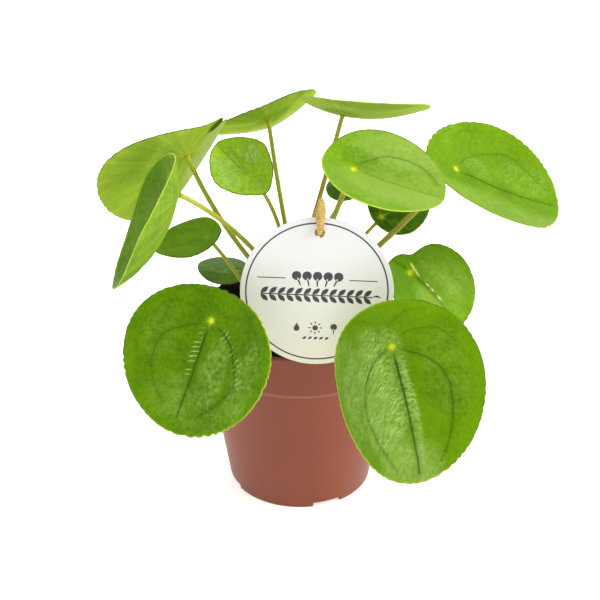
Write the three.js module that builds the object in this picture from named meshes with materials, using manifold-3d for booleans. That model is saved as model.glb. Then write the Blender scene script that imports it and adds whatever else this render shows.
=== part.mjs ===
// A potted pilea: fourteen round peltate leaves on long stalks, growing from a short
// woody stem in a 12 cm nursery pot, with a round hang tag on a jute tie.
// Millimetres, +Z up. The model is drawn about the pot's axis, with the pot's foot on
// z = 0 and the plant's front facing -Y, and is then centred on its bounding box.
import * as THREE from "three";
import { mergeVertices } from "three/addons/utils/BufferGeometryUtils.js";
import Module from "manifold-3d";

const wasm = await Module();
wasm.setup();

const GAP = 0.3; // between two solids that meet
const DEG = Math.PI / 180;

// Pot: a 12 cm thin-walled nursery pot with a collar and a beaded lip.
const POT = {
  height: 110,
  rimRadius: 60,
  footRadius: 44.5,
  collarHeight: 24.2,
  collarStep: 0.8,
  collarTaper: 1.2,
  lipHeight: 2.2,
  lipOverhang: 0.9,
  edgeRounding: 0.5,
  wall: 1.5,
  floor: 1.6,
  footHeight: 3.2,
  footWidth: 2.6,
  footChamfer: 0.8,
  footSlope: 1.5,
  sides: 48,
};
const FOOT_NOTCH = { count: 4, firstAngle: -68, width: 18, depth: 8 };
const DRAIN_HOLE = { count: 6, radius: 4, circleRadius: 26, length: 20, sides: 16 };

// Soil: filled nearly to the lip and heaped a little round the stem.
const SOIL = { edgeZ: 106.5, centreZ: 110.5, lump: 0.9, rings: 6, sides: 32, seed: 7 };
const HEAP = { bearing: 149, radius: 53.5, height: 9, deep: 6, long: 14 }; // at the rim
const SOIL_CLEARANCE = 0.5; // to the pot's wall, as both are faceted

// Stem: short, woody and ringed with leaf scars.
const STEM = {
  rootZ: 92,
  topZ: 134,
  rootRadius: 5.6,
  topRadius: 4.2,
  tipHeight: 3,
  tipShare: 0.6,
  scarDepth: 0.5,
  scars: 7,
  sides: 14,
};

// Blades: each is one thin sheet, split alike on both faces.
const BLADE = { thickness: 0.8, crenation: 1.1, dimple: 0.7, valley: 0.12 };
const RING_SCALES = [1, 0.84, 0.58, 0.3]; // of the distance from the hub to the rim
const RING_SHARES = [1, 0.5, 0.5, 0.25]; // of the points on the rim
const RIM_POINTS = { large: 64, small: 40 };
const SMALL_LENGTH = 60;
const BEND_STEPS = 16;
const NORMAL_STEP = 0.5; // between the points that give a blade's normal
const SINUS_WIDTH = 14; // of a notch in the outline, in degrees round the rim

const STALK = { sides: 8, steps: 9, rootShare: 1.15, pastHub: 1.2, soilDepth: 8 };
const STEM_JOIN_RADIUS = 4.6; // where stalks start, from the stem's axis

// Tag: a white card disc that leans back against the lip, hung on a jute tie.
const TAG = {
  radius: 41,
  thickness: 1.2,
  foot: [9, -61.6, 108.8],
  lean: 7,
  turn: -2.4,
  holeRadius: 2.7,
  holeFromEdge: 8.2,
  segments: 28,
};
const TIE = {
  leaf: 4,
  alongStalk: 0.36,
  radius: 2.7,
  endRadius: 1.4,
  swellAt: 0.18,
  swellWidth: 0.07,
  loopRadius: 0.5,
  loopSides: 6,
  loopSteps: 16,
  knotRadius: 3.4,
  standOff: 3.4,
  belowEdge: 1.5,
  aboveEdge: 8.5,
  backAt: 0.3,
  sides: 8,
  steps: 36,
};

// Leaves, one row each. hub: where the stalk meets the blade. heading: the way the tip
// points, in plan. pitch: how far it drops. roll: about the midrib. fold: rise of each
// half from the midrib. curl and droop: bending across and along. egg: how much broader
// the base is than the tip. base: the share of the length behind the hub. corner: over
// 1 where the outline comes to corners. sinus: where a notch sits round the rim, and its
// share of the radius. A stalk starts on the stem at a bearing and a height, or in the
// soil at a point, and bows.
const LEAVES = [
  {
    hub: [-66, 18, 203.3], heading: 134, pitch: 49.5, roll: -3, length: 92, width: 95.5,
    fold: 9, curl: 20, droop: 6.5, egg: 0.06, base: 0.29, sinus: [222, 0.16],
    stem: [178, 115], bow: [-10.5, 0, -4.5], stalk: 1.4,
  },
  {
    hub: [-65.5, -36.5, 197.5], heading: 164, pitch: 80.5, roll: -21, length: 86, width: 95,
    fold: 5, curl: 33, droop: -72, egg: 0.1, base: 0.23,
    stem: [205, 119], bow: [4, 0, 15], stalk: 1.3,
  },
  {
    hub: [-19.9, 69.5, 209.8], heading: 85, pitch: 31, roll: -24, length: 79, width: 72.5,
    fold: 8, curl: 13, droop: -38, egg: 0.01, base: 0.28,
    stem: [100, 121], bow: [-2.5, 0, 4.5], stalk: 1.3,
  },
  {
    hub: [25.4, 40, 221.5], heading: -1, pitch: 12, roll: -22, length: 78, width: 71,
    fold: 2.5, curl: 5, droop: -46, egg: -0.05, base: 0.33,
    stem: [130, 129], bow: [3, 0, 9], stalk: 1.3,
  },
  {
    hub: [-29, 6, 193.2], heading: 136, pitch: -22, roll: -37, length: 47, width: 41.5,
    fold: 21, curl: 20, droop: -66, egg: -0.05, base: 0.4, corner: 1.2,
    stem: [175, 127], bow: [5, 0, 20.5], stalk: 1.1,
  },
  {
    hub: [29, -22.4, 207], heading: -12, pitch: 20, roll: 19, length: 69.5, width: 66.5,
    fold: 15, curl: -1, droop: -17, egg: 0.08, base: 0.26,
    stem: [-45, 121], bow: [0, 0, 6], stalk: 1.4,
  },
  {
    hub: [88.7, 5, 198.4], heading: 11, pitch: 31, roll: 33, length: 90, width: 75.5,
    fold: 3, curl: 36, droop: -29, egg: -0.01, base: 0.25,
    stem: [3, 115], bow: [4, 0, -4], stalk: 1.6,
  },
  {
    hub: [49.4, 32, 159.4], heading: 17, pitch: -21, roll: 25.5, length: 36.5, width: 44,
    fold: 5, curl: 2, droop: -2, egg: 0.17, base: 0.15,
    stem: [28, 119], bow: [3, 0, 4], stalk: 1.1,
  },
  {
    hub: [32, 45, 174.6], heading: 86, pitch: -14, roll: -27, length: 45.5, width: 36,
    fold: 4, curl: 0, droop: 27, egg: 0.03, base: 0.29,
    stem: [62, 120], bow: [-7, 0, 7], stalk: 1.1,
  },
  {
    hub: [-55.4, 15, 153], heading: 188, pitch: 23, roll: -7.5, length: 42.5, width: 44,
    fold: 19, curl: -18, droop: -33, egg: 0.15, base: 0.23,
    soil: [-17, -6], bow: [0, 0, 10], stalk: 1.1,
  },
  {
    hub: [-38.4, 28, 125.8], heading: 173, pitch: -9, roll: 0, length: 32, width: 41,
    fold: -3, curl: -5, droop: 8, egg: 0.1, base: 0.22,
    soil: [-13, 9], bow: [-2, 0, 5], stalk: 1,
  },
  {
    hub: [63, -14.8, 142.3], heading: -33, pitch: 28, roll: 11, length: 56.5, width: 64.5,
    fold: 14.5, curl: 1, droop: 37.5, egg: 0.07, base: 0.24, sinus: [152, 0.3],
    stem: [-22, 112], bow: [4, 0, 5], stalk: 1.3,
  },
  {
    hub: [-45.8, -79, 143.6], heading: -132, pitch: 60, roll: -15, length: 79, width: 86.5,
    fold: 3, curl: 8, droop: -2, egg: 0.08, base: 0.22,
    stem: [-140, 113], bow: [-17, 6, 8], stalk: 1.5,
  },
  {
    hub: [46.4, -94.5, 136.6], heading: -62, pitch: 54.5, roll: 53, length: 93, width: 84.5,
    fold: 2, curl: -28, droop: -28, egg: 0.12, base: 0.25,
    stem: [-72, 115], bow: [34, 9, -16], stalk: 1.6,
  },
];

const MATERIALS = {
  pot: new THREE.MeshStandardMaterial({ color: 0x8b5644, roughness: 0.45, metalness: 0 }),
  soil: new THREE.MeshStandardMaterial({ color: 0x1a140d, roughness: 1, metalness: 0 }),
  stem: new THREE.MeshStandardMaterial({ color: 0x6a5330, roughness: 0.8, metalness: 0 }),
  blade: new THREE.MeshStandardMaterial({ color: 0x6f9c20, roughness: 0.35, metalness: 0 }),
  stalk: new THREE.MeshStandardMaterial({ color: 0x94a53a, roughness: 0.4, metalness: 0 }),
  tag: new THREE.MeshStandardMaterial({ color: 0xf4f4ee, roughness: 0.6, metalness: 0 }),
  tie: new THREE.MeshStandardMaterial({ color: 0xd9ba6c, roughness: 0.9, metalness: 0 }),
};

// ---- Solids and meshes ----

function toSolid(geometry) {
  const bare = geometry.index ? geometry.toNonIndexed() : geometry.clone();
  bare.deleteAttribute("normal");
  bare.deleteAttribute("uv");
  const merged = mergeVertices(bare, 1e-4);
  const mesh = new wasm.Mesh({
    numProp: 3,
    vertProperties: new Float32Array(merged.attributes.position.array),
    triVerts: new Uint32Array(merged.index.array),
  });
  return new wasm.Manifold(mesh);
}

function largestBody(solid) {
  const bodies = solid.decompose();
  return bodies.reduce((best, body) => (body.volume() > best.volume() ? body : best));
}

function toGeometry(solid) {
  const mesh = solid.getMesh();
  const geometry = new THREE.BufferGeometry();
  const position = new THREE.Float32BufferAttribute(mesh.vertProperties, 3);
  geometry.setAttribute("position", position);
  geometry.setIndex(new THREE.BufferAttribute(mesh.triVerts, 1));
  geometry.computeVertexNormals();
  return geometry;
}

function namedMesh(name, geometry, material) {
  const mesh = new THREE.Mesh(geometry, material);
  mesh.name = name;
  return mesh;
}

function closedGeometry(points, triangles) {
  const geometry = new THREE.BufferGeometry();
  geometry.setFromPoints(points);
  geometry.setIndex(triangles.flat());
  return geometry;
}

// A turned solid: the profile holds [radius, z] pairs, from the axis back to the axis.
function turned(profile, sides) {
  const points = profile.map(([radius, z]) => new THREE.Vector2(radius, z));
  return new THREE.LatheGeometry(points, sides).rotateX(Math.PI / 2);
}

// A round bar along a curve, with a radius that may change, closed by flat ends.
function bar(curve, radiusAt, steps, sides) {
  const frames = curve.computeFrenetFrames(steps, false);
  const points = [];
  for (let i = 0; i <= steps; i++) {
    const centre = curve.getPointAt(i / steps);
    for (let j = 0; j < sides; j++) {
      const angle = (j / sides) * 2 * Math.PI;
      const offset = frames.normals[i].clone().multiplyScalar(Math.cos(angle));
      offset.addScaledVector(frames.binormals[i], Math.sin(angle));
      points.push(centre.clone().addScaledVector(offset, radiusAt(i / steps)));
    }
  }
  const first = points.push(curve.getPointAt(0)) - 1;
  const last = points.push(curve.getPointAt(1)) - 1;
  const triangles = [];
  for (let j = 0; j < sides; j++) {
    const next = (j + 1) % sides;
    triangles.push([first, next, j]);
    triangles.push([last, steps * sides + j, steps * sides + next]);
    for (let i = 0; i < steps; i++) {
      const low = i * sides;
      const high = low + sides;
      triangles.push([low + j, low + next, high + next]);
      triangles.push([low + j, high + next, high + j]);
    }
  }
  return closedGeometry(points, triangles);
}

// A repeatable draw between 0 and 1.
function seededRandom(seed) {
  let state = seed;
  return () => {
    state = (state * 1664525 + 1013904223) % 4294967296;
    return state / 4294967296;
  };
}

// ---- Pot ----

function potRadiusAt(z) {
  const bodyTop = POT.height - POT.collarHeight;
  const bodyTopRadius = POT.rimRadius - POT.lipOverhang - POT.collarTaper - POT.collarStep;
  return POT.footRadius + ((bodyTopRadius - POT.footRadius) * z) / bodyTop;
}

function potInnerRadiusAt(z) {
  return potRadiusAt(z) - POT.wall;
}

function potGeometry() {
  const { height, rimRadius, footRadius, footHeight, edgeRounding } = POT;
  const collarZ = height - POT.collarHeight;
  const lipZ = height - POT.lipHeight;
  const collarTop = rimRadius - POT.lipOverhang;
  const floorTop = footHeight + POT.floor;
  const profile = [
    [0, footHeight],
    [footRadius - POT.footWidth - POT.footSlope, footHeight],
    [footRadius - POT.footWidth, 0],
    [footRadius - POT.footChamfer, 0],
    [potRadiusAt(POT.footChamfer), POT.footChamfer],
    [potRadiusAt(collarZ), collarZ],
    [collarTop - POT.collarTaper, collarZ + POT.collarStep],
    [collarTop, lipZ],
    [rimRadius, lipZ + edgeRounding],
    [rimRadius, height - edgeRounding],
    [rimRadius - edgeRounding, height],
    [collarTop - POT.wall, height],
    [collarTop - POT.wall - edgeRounding / 2, lipZ],
    [potInnerRadiusAt(collarZ), collarZ],
    [potInnerRadiusAt(floorTop), floorTop],
    [0, floorTop],
  ];
  let pot = toSolid(turned(profile, POT.sides));
  for (let i = 0; i < FOOT_NOTCH.count; i++) {
    const angle = (FOOT_NOTCH.firstAngle + (360 / FOOT_NOTCH.count) * i) * DEG;
    const notch = new THREE.BoxGeometry(FOOT_NOTCH.depth, FOOT_NOTCH.width, 2 * footHeight);
    notch.translate(footRadius, 0, 0).rotateZ(angle);
    pot = pot.subtract(toSolid(notch));
  }
  for (let i = 0; i < DRAIN_HOLE.count; i++) {
    const angle = (i / DRAIN_HOLE.count) * 2 * Math.PI;
    const { radius, length, sides, circleRadius } = DRAIN_HOLE;
    const hole = new THREE.CylinderGeometry(radius, radius, length, sides);
    hole.rotateX(Math.PI / 2).translate(circleRadius, 0, 0).rotateZ(angle);
    pot = pot.subtract(toSolid(hole));
  }
  return toGeometry(pot);
}

// ---- Soil ----

// How much higher the soil is where it is heaped against the rim.
function heapHeight(x, y) {
  const bearing = HEAP.bearing * DEG;
  const out = x * Math.cos(bearing) + y * Math.sin(bearing) - HEAP.radius;
  const across = y * Math.cos(bearing) - x * Math.sin(bearing);
  return HEAP.height * Math.exp(-((out / HEAP.deep) ** 2 + (across / HEAP.long) ** 2) / 2);
}

function soilSolid() {
  const random = seededRandom(SOIL.seed);
  const collarZ = POT.height - POT.collarHeight;
  const floorZ = POT.footHeight + POT.floor + GAP;
  const points = [new THREE.Vector3(0, 0, SOIL.centreZ)];
  const lipInside = POT.rimRadius - POT.lipOverhang - POT.wall;
  const edgeRadius = lipInside - POT.collarTaper - GAP;
  for (let ring = 1; ring <= SOIL.rings; ring++) {
    const share = ring / SOIL.rings;
    for (let i = 0; i < SOIL.sides; i++) {
      const angle = ((i + 0.5 * (ring % 2)) / SOIL.sides) * 2 * Math.PI;
      const lump = ring < SOIL.rings ? (random() - 0.5) * 2 * SOIL.lump : 0;
      const z = SOIL.centreZ + (SOIL.edgeZ - SOIL.centreZ) * share * share + lump;
      const x = edgeRadius * share * Math.cos(angle);
      const y = edgeRadius * share * Math.sin(angle);
      points.push(new THREE.Vector3(x, y, z + heapHeight(x, y)));
    }
  }
  const triangles = [];
  const at = (ring, i) => 1 + (ring - 1) * SOIL.sides + (i % SOIL.sides);
  for (let i = 0; i < SOIL.sides; i++) {
    triangles.push([0, at(1, i), at(1, i + 1)]);
    for (let ring = 1; ring < SOIL.rings; ring++) {
      triangles.push([at(ring, i), at(ring + 1, i), at(ring + 1, i + 1)]);
      triangles.push([at(ring, i), at(ring + 1, i + 1), at(ring, i + 1)]);
    }
  }
  // The sides follow the wall down to the pot's floor.
  let above = SOIL.rings;
  for (const z of [collarZ, floorZ]) {
    const radius = potInnerRadiusAt(z) - SOIL_CLEARANCE;
    for (let i = 0; i < SOIL.sides; i++) {
      const angle = ((i + 0.5 * (SOIL.rings % 2)) / SOIL.sides) * 2 * Math.PI;
      points.push(
        new THREE.Vector3(radius * Math.cos(angle), radius * Math.sin(angle), z),
      );
      triangles.push([at(above, i), at(above + 1, i), at(above + 1, i + 1)]);
      triangles.push([at(above, i), at(above + 1, i + 1), at(above, i + 1)]);
    }
    above++;
  }
  const foot = points.push(new THREE.Vector3(0, 0, floorZ)) - 1;
  for (let i = 0; i < SOIL.sides; i++) {
    triangles.push([foot, at(above, i + 1), at(above, i)]);
  }
  return toSolid(closedGeometry(points, triangles));
}

// ---- Stem ----

function stemGeometry(grow) {
  const profile = [[0, STEM.rootZ - grow]];
  const steps = STEM.scars * 2;
  for (let i = 0; i <= steps; i++) {
    const share = i / steps;
    const scar = i % 2 ? -STEM.scarDepth : 0;
    const radius = STEM.rootRadius + (STEM.topRadius - STEM.rootRadius) * share;
    const z = STEM.rootZ - grow + (STEM.topZ - STEM.tipHeight - STEM.rootZ + grow) * share;
    profile.push([radius + scar + grow, z]);
  }
  profile.push([STEM.topRadius * STEM.tipShare + grow, STEM.topZ - STEM.tipHeight / 3 + grow]);
  profile.push([0, STEM.topZ + grow]);
  return turned(profile, STEM.sides);
}

// ---- Leaves ----

// A point on the flat blade's outline, measured from the hub: u to the tip, v across.
function outlinePoint(leaf, turn) {
  const cornered = (x) => Math.sign(x) * Math.abs(x) ** (leaf.corner ?? 1);
  const along = cornered(Math.cos(turn));
  const across = cornered(Math.sin(turn)) * (1 - leaf.egg * along);
  const [sinusAt, sinusDepth] = leaf.sinus ?? [0, 0];
  const kept = 1 - sinusDepth * Math.exp(-(((turn / DEG - sinusAt) / SINUS_WIDTH) ** 2));
  const u = (0.5 - leaf.base) * leaf.length + 0.5 * leaf.length * along;
  return [u * kept, 0.5 * leaf.width * across * kept];
}

// The mean of cos and sin of an angle that grows along a path.
function meanDirection(angleAt) {
  let cos = 0;
  let sin = 0;
  for (let i = 0; i < BEND_STEPS; i++) {
    const angle = angleAt((i + 0.5) / BEND_STEPS);
    cos += Math.cos(angle) / BEND_STEPS;
    sin += Math.sin(angle) / BEND_STEPS;
  }
  return [cos, sin];
}

// Where a point of the flat blade goes once it is folded across and bent along.
function bentPoint(leaf, u, v) {
  const half = leaf.width / 2;
  const out = Math.abs(v);
  const rise = (share) => {
    const fold = leaf.fold * DEG * Math.tanh((out * share) / (BLADE.valley * half));
    return fold + (leaf.curl * DEG * out * share) / half;
  };
  const [across, up] = meanDirection(rise);
  const tilt = (share) => (-leaf.droop * DEG * u * share) / leaf.length;
  const [along, lift] = meanDirection(tilt);
  const end = tilt(1);
  return new THREE.Vector3(
    along * u - Math.sin(end) * up * out,
    across * v,
    lift * u + Math.cos(end) * up * out,
  );
}

function bentNormal(leaf, u, v) {
  const step = NORMAL_STEP;
  const alongU = bentPoint(leaf, u + step, v).sub(bentPoint(leaf, u - step, v));
  const alongV = bentPoint(leaf, u, v + step).sub(bentPoint(leaf, u, v - step));
  return alongU.cross(alongV).normalize();
}

// The leaf's own axes in the model: tip-ward, left and upper-face directions.
function leafMatrix(leaf) {
  const heading = leaf.heading * DEG;
  const pitch = leaf.pitch * DEG;
  const tip = new THREE.Vector3(
    Math.cos(heading) * Math.cos(pitch),
    Math.sin(heading) * Math.cos(pitch),
    -Math.sin(pitch),
  );
  const left = new THREE.Vector3(-Math.sin(heading), Math.cos(heading), 0);
  left.applyAxisAngle(tip, leaf.roll * DEG);
  const upper = tip.clone().cross(left);
  const matrix = new THREE.Matrix4().makeBasis(tip, left, upper);
  return matrix.setPosition(...leaf.hub);
}

// Triangles between an outer ring and an inner one with as many or half the points.
function stitch(outer, outerCount, inner, innerCount) {
  const triangles = [];
  const double = outerCount === 2 * innerCount;
  for (let i = 0; i < innerCount; i++) {
    const a = inner + i;
    const b = inner + ((i + 1) % innerCount);
    if (double) {
      const [c, d] = [outer + 2 * i, outer + 2 * i + 1];
      const e = outer + ((2 * i + 2) % outerCount);
      triangles.push([a, c, d], [a, d, b], [b, d, e]);
    } else {
      const c = outer + i;
      const d = outer + ((i + 1) % outerCount);
      triangles.push([a, c, d], [a, d, b]);
    }
  }
  return triangles;
}

function bladeGeometry(leaf, thickness) {
  const rimPoints = leaf.length < SMALL_LENGTH ? RIM_POINTS.small : RIM_POINTS.large;
  const flat = [];
  const starts = [];
  const counts = RING_SHARES.map((share) => rimPoints * share);
  counts.forEach((count, ring) => {
    starts.push(flat.length);
    for (let i = 0; i < count; i++) {
      const [u, v] = outlinePoint(leaf, (i / count) * 2 * Math.PI);
      const notch = ring === 0 && i % 2 ? BLADE.crenation / Math.hypot(u, v) : 0;
      flat.push([u * (RING_SCALES[ring] - notch), v * (RING_SCALES[ring] - notch)]);
    }
  });
  const hub = flat.push([0, 0]) - 1;

  const face = [];
  for (let ring = 0; ring + 1 < counts.length; ring++) {
    const [outer, inner] = [starts[ring], starts[ring + 1]];
    face.push(...stitch(outer, counts[ring], inner, counts[ring + 1]));
  }
  const lastStart = starts.at(-1);
  const lastCount = counts.at(-1);
  for (let i = 0; i < lastCount; i++) {
    face.push([hub, lastStart + i, lastStart + ((i + 1) % lastCount)]);
  }

  const points = [];
  for (const side of [0.5, -0.5]) {
    flat.forEach(([u, v], i) => {
      const sink = i === hub ? BLADE.dimple : 0;
      const normal = bentNormal(leaf, u, v);
      points.push(bentPoint(leaf, u, v).addScaledVector(normal, side * thickness - sink));
    });
  }
  const under = flat.length;
  const triangles = [...face, ...face.map(([a, b, c]) => [under + a, under + c, under + b])];
  for (let i = 0; i < rimPoints; i++) {
    const next = (i + 1) % rimPoints;
    triangles.push([i, under + i, under + next], [i, under + next, next]);
  }
  return closedGeometry(points, triangles).applyMatrix4(leafMatrix(leaf));
}

function stalkStart(leaf) {
  if (leaf.soil) return new THREE.Vector3(...leaf.soil, SOIL.edgeZ - STALK.soilDepth);
  const [bearing, z] = leaf.stem;
  const x = STEM_JOIN_RADIUS * Math.cos(bearing * DEG);
  const y = STEM_JOIN_RADIUS * Math.sin(bearing * DEG);
  return new THREE.Vector3(x, y, z);
}

function stalkCurve(leaf) {
  const start = stalkStart(leaf);
  const hub = new THREE.Vector3(...leaf.hub);
  const middle = start.clone().add(hub).multiplyScalar(0.5);
  middle.add(new THREE.Vector3(...leaf.bow));
  const end = hub.clone().add(hub.clone().sub(middle).setLength(STALK.pastHub));
  return new THREE.QuadraticBezierCurve3(start, middle, end);
}

function stalkGeometry(leaf, grow) {
  const radiusAt = (share) => {
    const taper = STALK.rootShare + (1 - STALK.rootShare) * share;
    return leaf.stalk * taper + grow;
  };
  return bar(stalkCurve(leaf), radiusAt, STALK.steps, STALK.sides);
}

// A stalk stops short of the stem at one end and of its blade at the other.
function fittedStalk(leaf, clearStem) {
  const clearBlade = toSolid(bladeGeometry(leaf, BLADE.thickness + 2 * GAP));
  let stalk = toSolid(stalkGeometry(leaf, 0));
  if (leaf.stem) stalk = stalk.subtract(clearStem);
  return toGeometry(largestBody(stalk.subtract(clearBlade)));
}

// ---- Tag and tie ----

// The tag's axes: across, up its face, and out of its front.
function tagAxes() {
  const lean = TAG.lean * DEG;
  const front = new THREE.Vector3(0, -Math.cos(lean), Math.sin(lean));
  const up = new THREE.Vector3(0, Math.sin(lean), Math.cos(lean));
  const across = new THREE.Vector3(1, 0, 0);
  const centre = new THREE.Vector3(...TAG.foot).addScaledVector(up, TAG.radius);
  up.applyAxisAngle(front, TAG.turn * DEG);
  across.applyAxisAngle(front, TAG.turn * DEG);
  return { across, up, front, centre };
}

function tagPoint(across, up, front) {
  const axes = tagAxes();
  return axes.centre
    .clone()
    .addScaledVector(axes.across, across)
    .addScaledVector(axes.up, up)
    .addScaledVector(axes.front, front);
}

function tagGeometry() {
  const { across, up, front, centre } = tagAxes();
  const outline = new THREE.Shape().absarc(0, 0, TAG.radius, 0, 2 * Math.PI, false);
  const hole = new THREE.Path();
  hole.absarc(0, TAG.radius - TAG.holeFromEdge, TAG.holeRadius, 0, 2 * Math.PI, true);
  outline.holes.push(hole);
  const disc = new THREE.ExtrudeGeometry(outline, {
    depth: TAG.thickness,
    bevelEnabled: false,
    curveSegments: TAG.segments,
  });
  disc.translate(0, 0, -TAG.thickness / 2);
  const matrix = new THREE.Matrix4().makeBasis(across, up, front).setPosition(centre);
  return disc.applyMatrix4(matrix);
}

// The tie is knotted behind the tag, comes through its hole, passes over its edge and
// runs back to a snug loop round one stalk.
function tieGeometry() {
  const leaf = LEAVES[TIE.leaf - 1];
  const stalk = stalkCurve(leaf);
  const held = stalk.getPointAt(TIE.alongStalk);
  const way = stalk.getTangentAt(TIE.alongStalk);
  const loopRadius = leaf.stalk * STALK.rootShare + GAP + TIE.loopRadius;
  const holeUp = TAG.radius - TAG.holeFromEdge;
  const back = TAG.thickness / 2 + GAP + TIE.knotRadius;
  const knot = tagPoint(0, holeUp, -back);
  const overEdge = tagPoint(0, TAG.radius + TIE.aboveEdge, 0);
  const toTag = overEdge.clone().sub(held);
  toTag.addScaledVector(way, -toTag.dot(way)).normalize();
  const loopFront = held.clone().addScaledVector(toTag, loopRadius);
  const route = new THREE.CatmullRomCurve3([
    knot,
    tagPoint(0, holeUp, 0),
    tagPoint(0, holeUp + TIE.endRadius, TIE.standOff),
    tagPoint(0, TAG.radius - TIE.belowEdge, TIE.standOff),
    overEdge,
    overEdge.clone().lerp(loopFront, TIE.backAt),
    loopFront,
  ]);
  const swell = (share) => Math.exp(-(((share - TIE.swellAt) / TIE.swellWidth) ** 2));
  const radiusAt = (share) => TIE.endRadius + (TIE.radius - TIE.endRadius) * swell(share);
  const strand = toSolid(bar(route, radiusAt, TIE.steps, TIE.sides));
  const ball = new THREE.IcosahedronGeometry(TIE.knotRadius, 1);
  const knotSolid = toSolid(ball.translate(knot.x, knot.y, knot.z));
  const { loopSides, loopSteps } = TIE;
  const ring = new THREE.TorusGeometry(loopRadius, TIE.loopRadius, loopSides, loopSteps);
  const turn = new THREE.Quaternion().setFromUnitVectors(new THREE.Vector3(0, 0, 1), way);
  ring.applyQuaternion(turn).translate(held.x, held.y, held.z);
  return toGeometry(strand.add(knotSolid).add(toSolid(ring)));
}

// ---- The whole plant ----

function makePlant() {
  const plant = new THREE.Group();
  const foliage = new THREE.Group();
  const clearStem = toSolid(stemGeometry(GAP));
  let soil = soilSolid().subtract(clearStem);
  LEAVES.forEach((leaf, i) => {
    const number = String(i + 1).padStart(2, "0");
    const blade = bladeGeometry(leaf, BLADE.thickness);
    blade.computeVertexNormals();
    foliage.add(namedMesh(`blade_${number}`, blade, MATERIALS.blade));
    const stalk = fittedStalk(leaf, clearStem);
    foliage.add(namedMesh(`stalk_${number}`, stalk, MATERIALS.stalk));
    if (leaf.soil) soil = soil.subtract(toSolid(stalkGeometry(leaf, GAP)));
  });
  plant.add(foliage);
  plant.add(namedMesh("pot", potGeometry(), MATERIALS.pot));
  plant.add(namedMesh("soil", toGeometry(soil), MATERIALS.soil));
  plant.add(namedMesh("stem", stemGeometry(0), MATERIALS.stem));
  plant.add(namedMesh("tag", tagGeometry(), MATERIALS.tag));
  plant.add(namedMesh("tie", tieGeometry(), MATERIALS.tie));
  return plant;
}

// The origin is the centre of the bounding box's base.
const pottedPilea = makePlant();
const box = new THREE.Box3().setFromObject(pottedPilea);
const centre = box.getCenter(new THREE.Vector3());
pottedPilea.position.set(-centre.x, -centre.y, -box.min.z);

export default pottedPilea;
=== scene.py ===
"""The looks of a potted pilea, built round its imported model.

Sizes are millimetres about the pot's axis, with the foot on z = 0 and the front facing
-Y, as in the part's own source. place() turns them into metres in the shared frame.
"""

import math

import bpy
import numpy as np
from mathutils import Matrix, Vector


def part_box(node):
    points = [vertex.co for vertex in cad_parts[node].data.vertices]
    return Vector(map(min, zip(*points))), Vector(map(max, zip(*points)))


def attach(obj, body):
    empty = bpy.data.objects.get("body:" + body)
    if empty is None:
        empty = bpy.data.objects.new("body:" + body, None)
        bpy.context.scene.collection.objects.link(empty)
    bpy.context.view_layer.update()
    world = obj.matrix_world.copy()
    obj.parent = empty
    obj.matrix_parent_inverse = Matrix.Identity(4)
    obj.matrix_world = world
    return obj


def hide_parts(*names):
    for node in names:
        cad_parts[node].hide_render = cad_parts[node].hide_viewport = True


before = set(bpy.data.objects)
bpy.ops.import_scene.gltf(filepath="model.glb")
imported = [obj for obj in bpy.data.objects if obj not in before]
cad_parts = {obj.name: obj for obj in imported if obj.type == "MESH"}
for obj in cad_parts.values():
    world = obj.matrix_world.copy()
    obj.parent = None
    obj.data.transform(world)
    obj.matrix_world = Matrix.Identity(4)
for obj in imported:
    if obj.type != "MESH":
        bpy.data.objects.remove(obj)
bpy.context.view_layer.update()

MM = 0.001
RIDES_ON = "root"
pot_low, pot_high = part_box("pot")
AXIS = np.array([(pot_low.x + pot_high.x) / 2, (pot_low.y + pot_high.y) / 2, 0.0])

# ---- Driving dimensions, in millimetres, and angles in degrees ----

CAMERA = {"back": 550, "height": 376, "pitch": 25.1, "focal_px": 1017, "frame_px": 600}
SENSOR_MM = 36
# Soft lamps: which way round the pot each stands, how high, how wide, in degrees, and
# how strong.
LAMPS = [
    ("right_front", -18, 34, 40, 1.95),
    ("top_back", 80, 62, 80, 1.7),
    ("left", 185, 30, 50, 0.6),
]
# The white surround: from which height to which it dims, and its strength below and above.
SURROUND = (0.2, 0.55, 1.0, 0.4)
FLOOR = {"half_size_m": 8, "glow": 0.5}

GAP = 0.3
POT = {
    "height": 110, "rim_radius": 60, "foot_radius": 44.5, "collar_height": 24.2,
    "collar_step": 0.8, "collar_taper": 1.2, "lip_height": 2.2, "lip_overhang": 0.9,
    "wall": 1.5, "floor": 1.6, "foot_height": 3.2, "foot_width": 2.6, "foot_slope": 1.5,
    "sides": 192,
}
# Under the collar, painted shade in a dark line and painted light in a paler band: how far
# above its lower edge a line lies, its half width, how strong it is and its colour.
COLLAR_PAINTED_SHADE_AND_LIGHT = [
    (-1.1, 1.2, 0.3, (0.42, 0.16, 0.085, 1)), (0.45, 0.8, 0.6, (0.08, 0.022, 0.014, 1)),
]
FOOT_NOTCH = {"count": 4, "first_angle": -68, "width": 18, "depth": 8}
DRAIN_HOLE = {"count": 6, "radius": 4, "circle_radius": 26, "length": 20}

SOIL = {"edge_z": 106.5, "centre_z": 110.5, "radius": 55.9, "rings": 56, "sides": 180}
CRUMBS = {"count": 1500, "smallest": 0.5, "largest": 2.0}
HEAP = {
    "count": 300, "smallest": 0.7, "largest": 1.7,
    "bearing": 149, "radius": 53.5, "height": 9, "deep": 6, "long": 14,
}
FLECKS = {"count": 70, "smallest": 0.5, "largest": 1.1}
CRUMB_SHAPE = np.array([1, 1, 0.8])
FLECK_SHAPE = np.array([1, 0.9, 0.8])
ROOM_ROUND_STEM = 7
ROOM_AT_WALL = 1.5
FIBRES = {"count": 46, "length": 7, "radius": 0.28}

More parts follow.
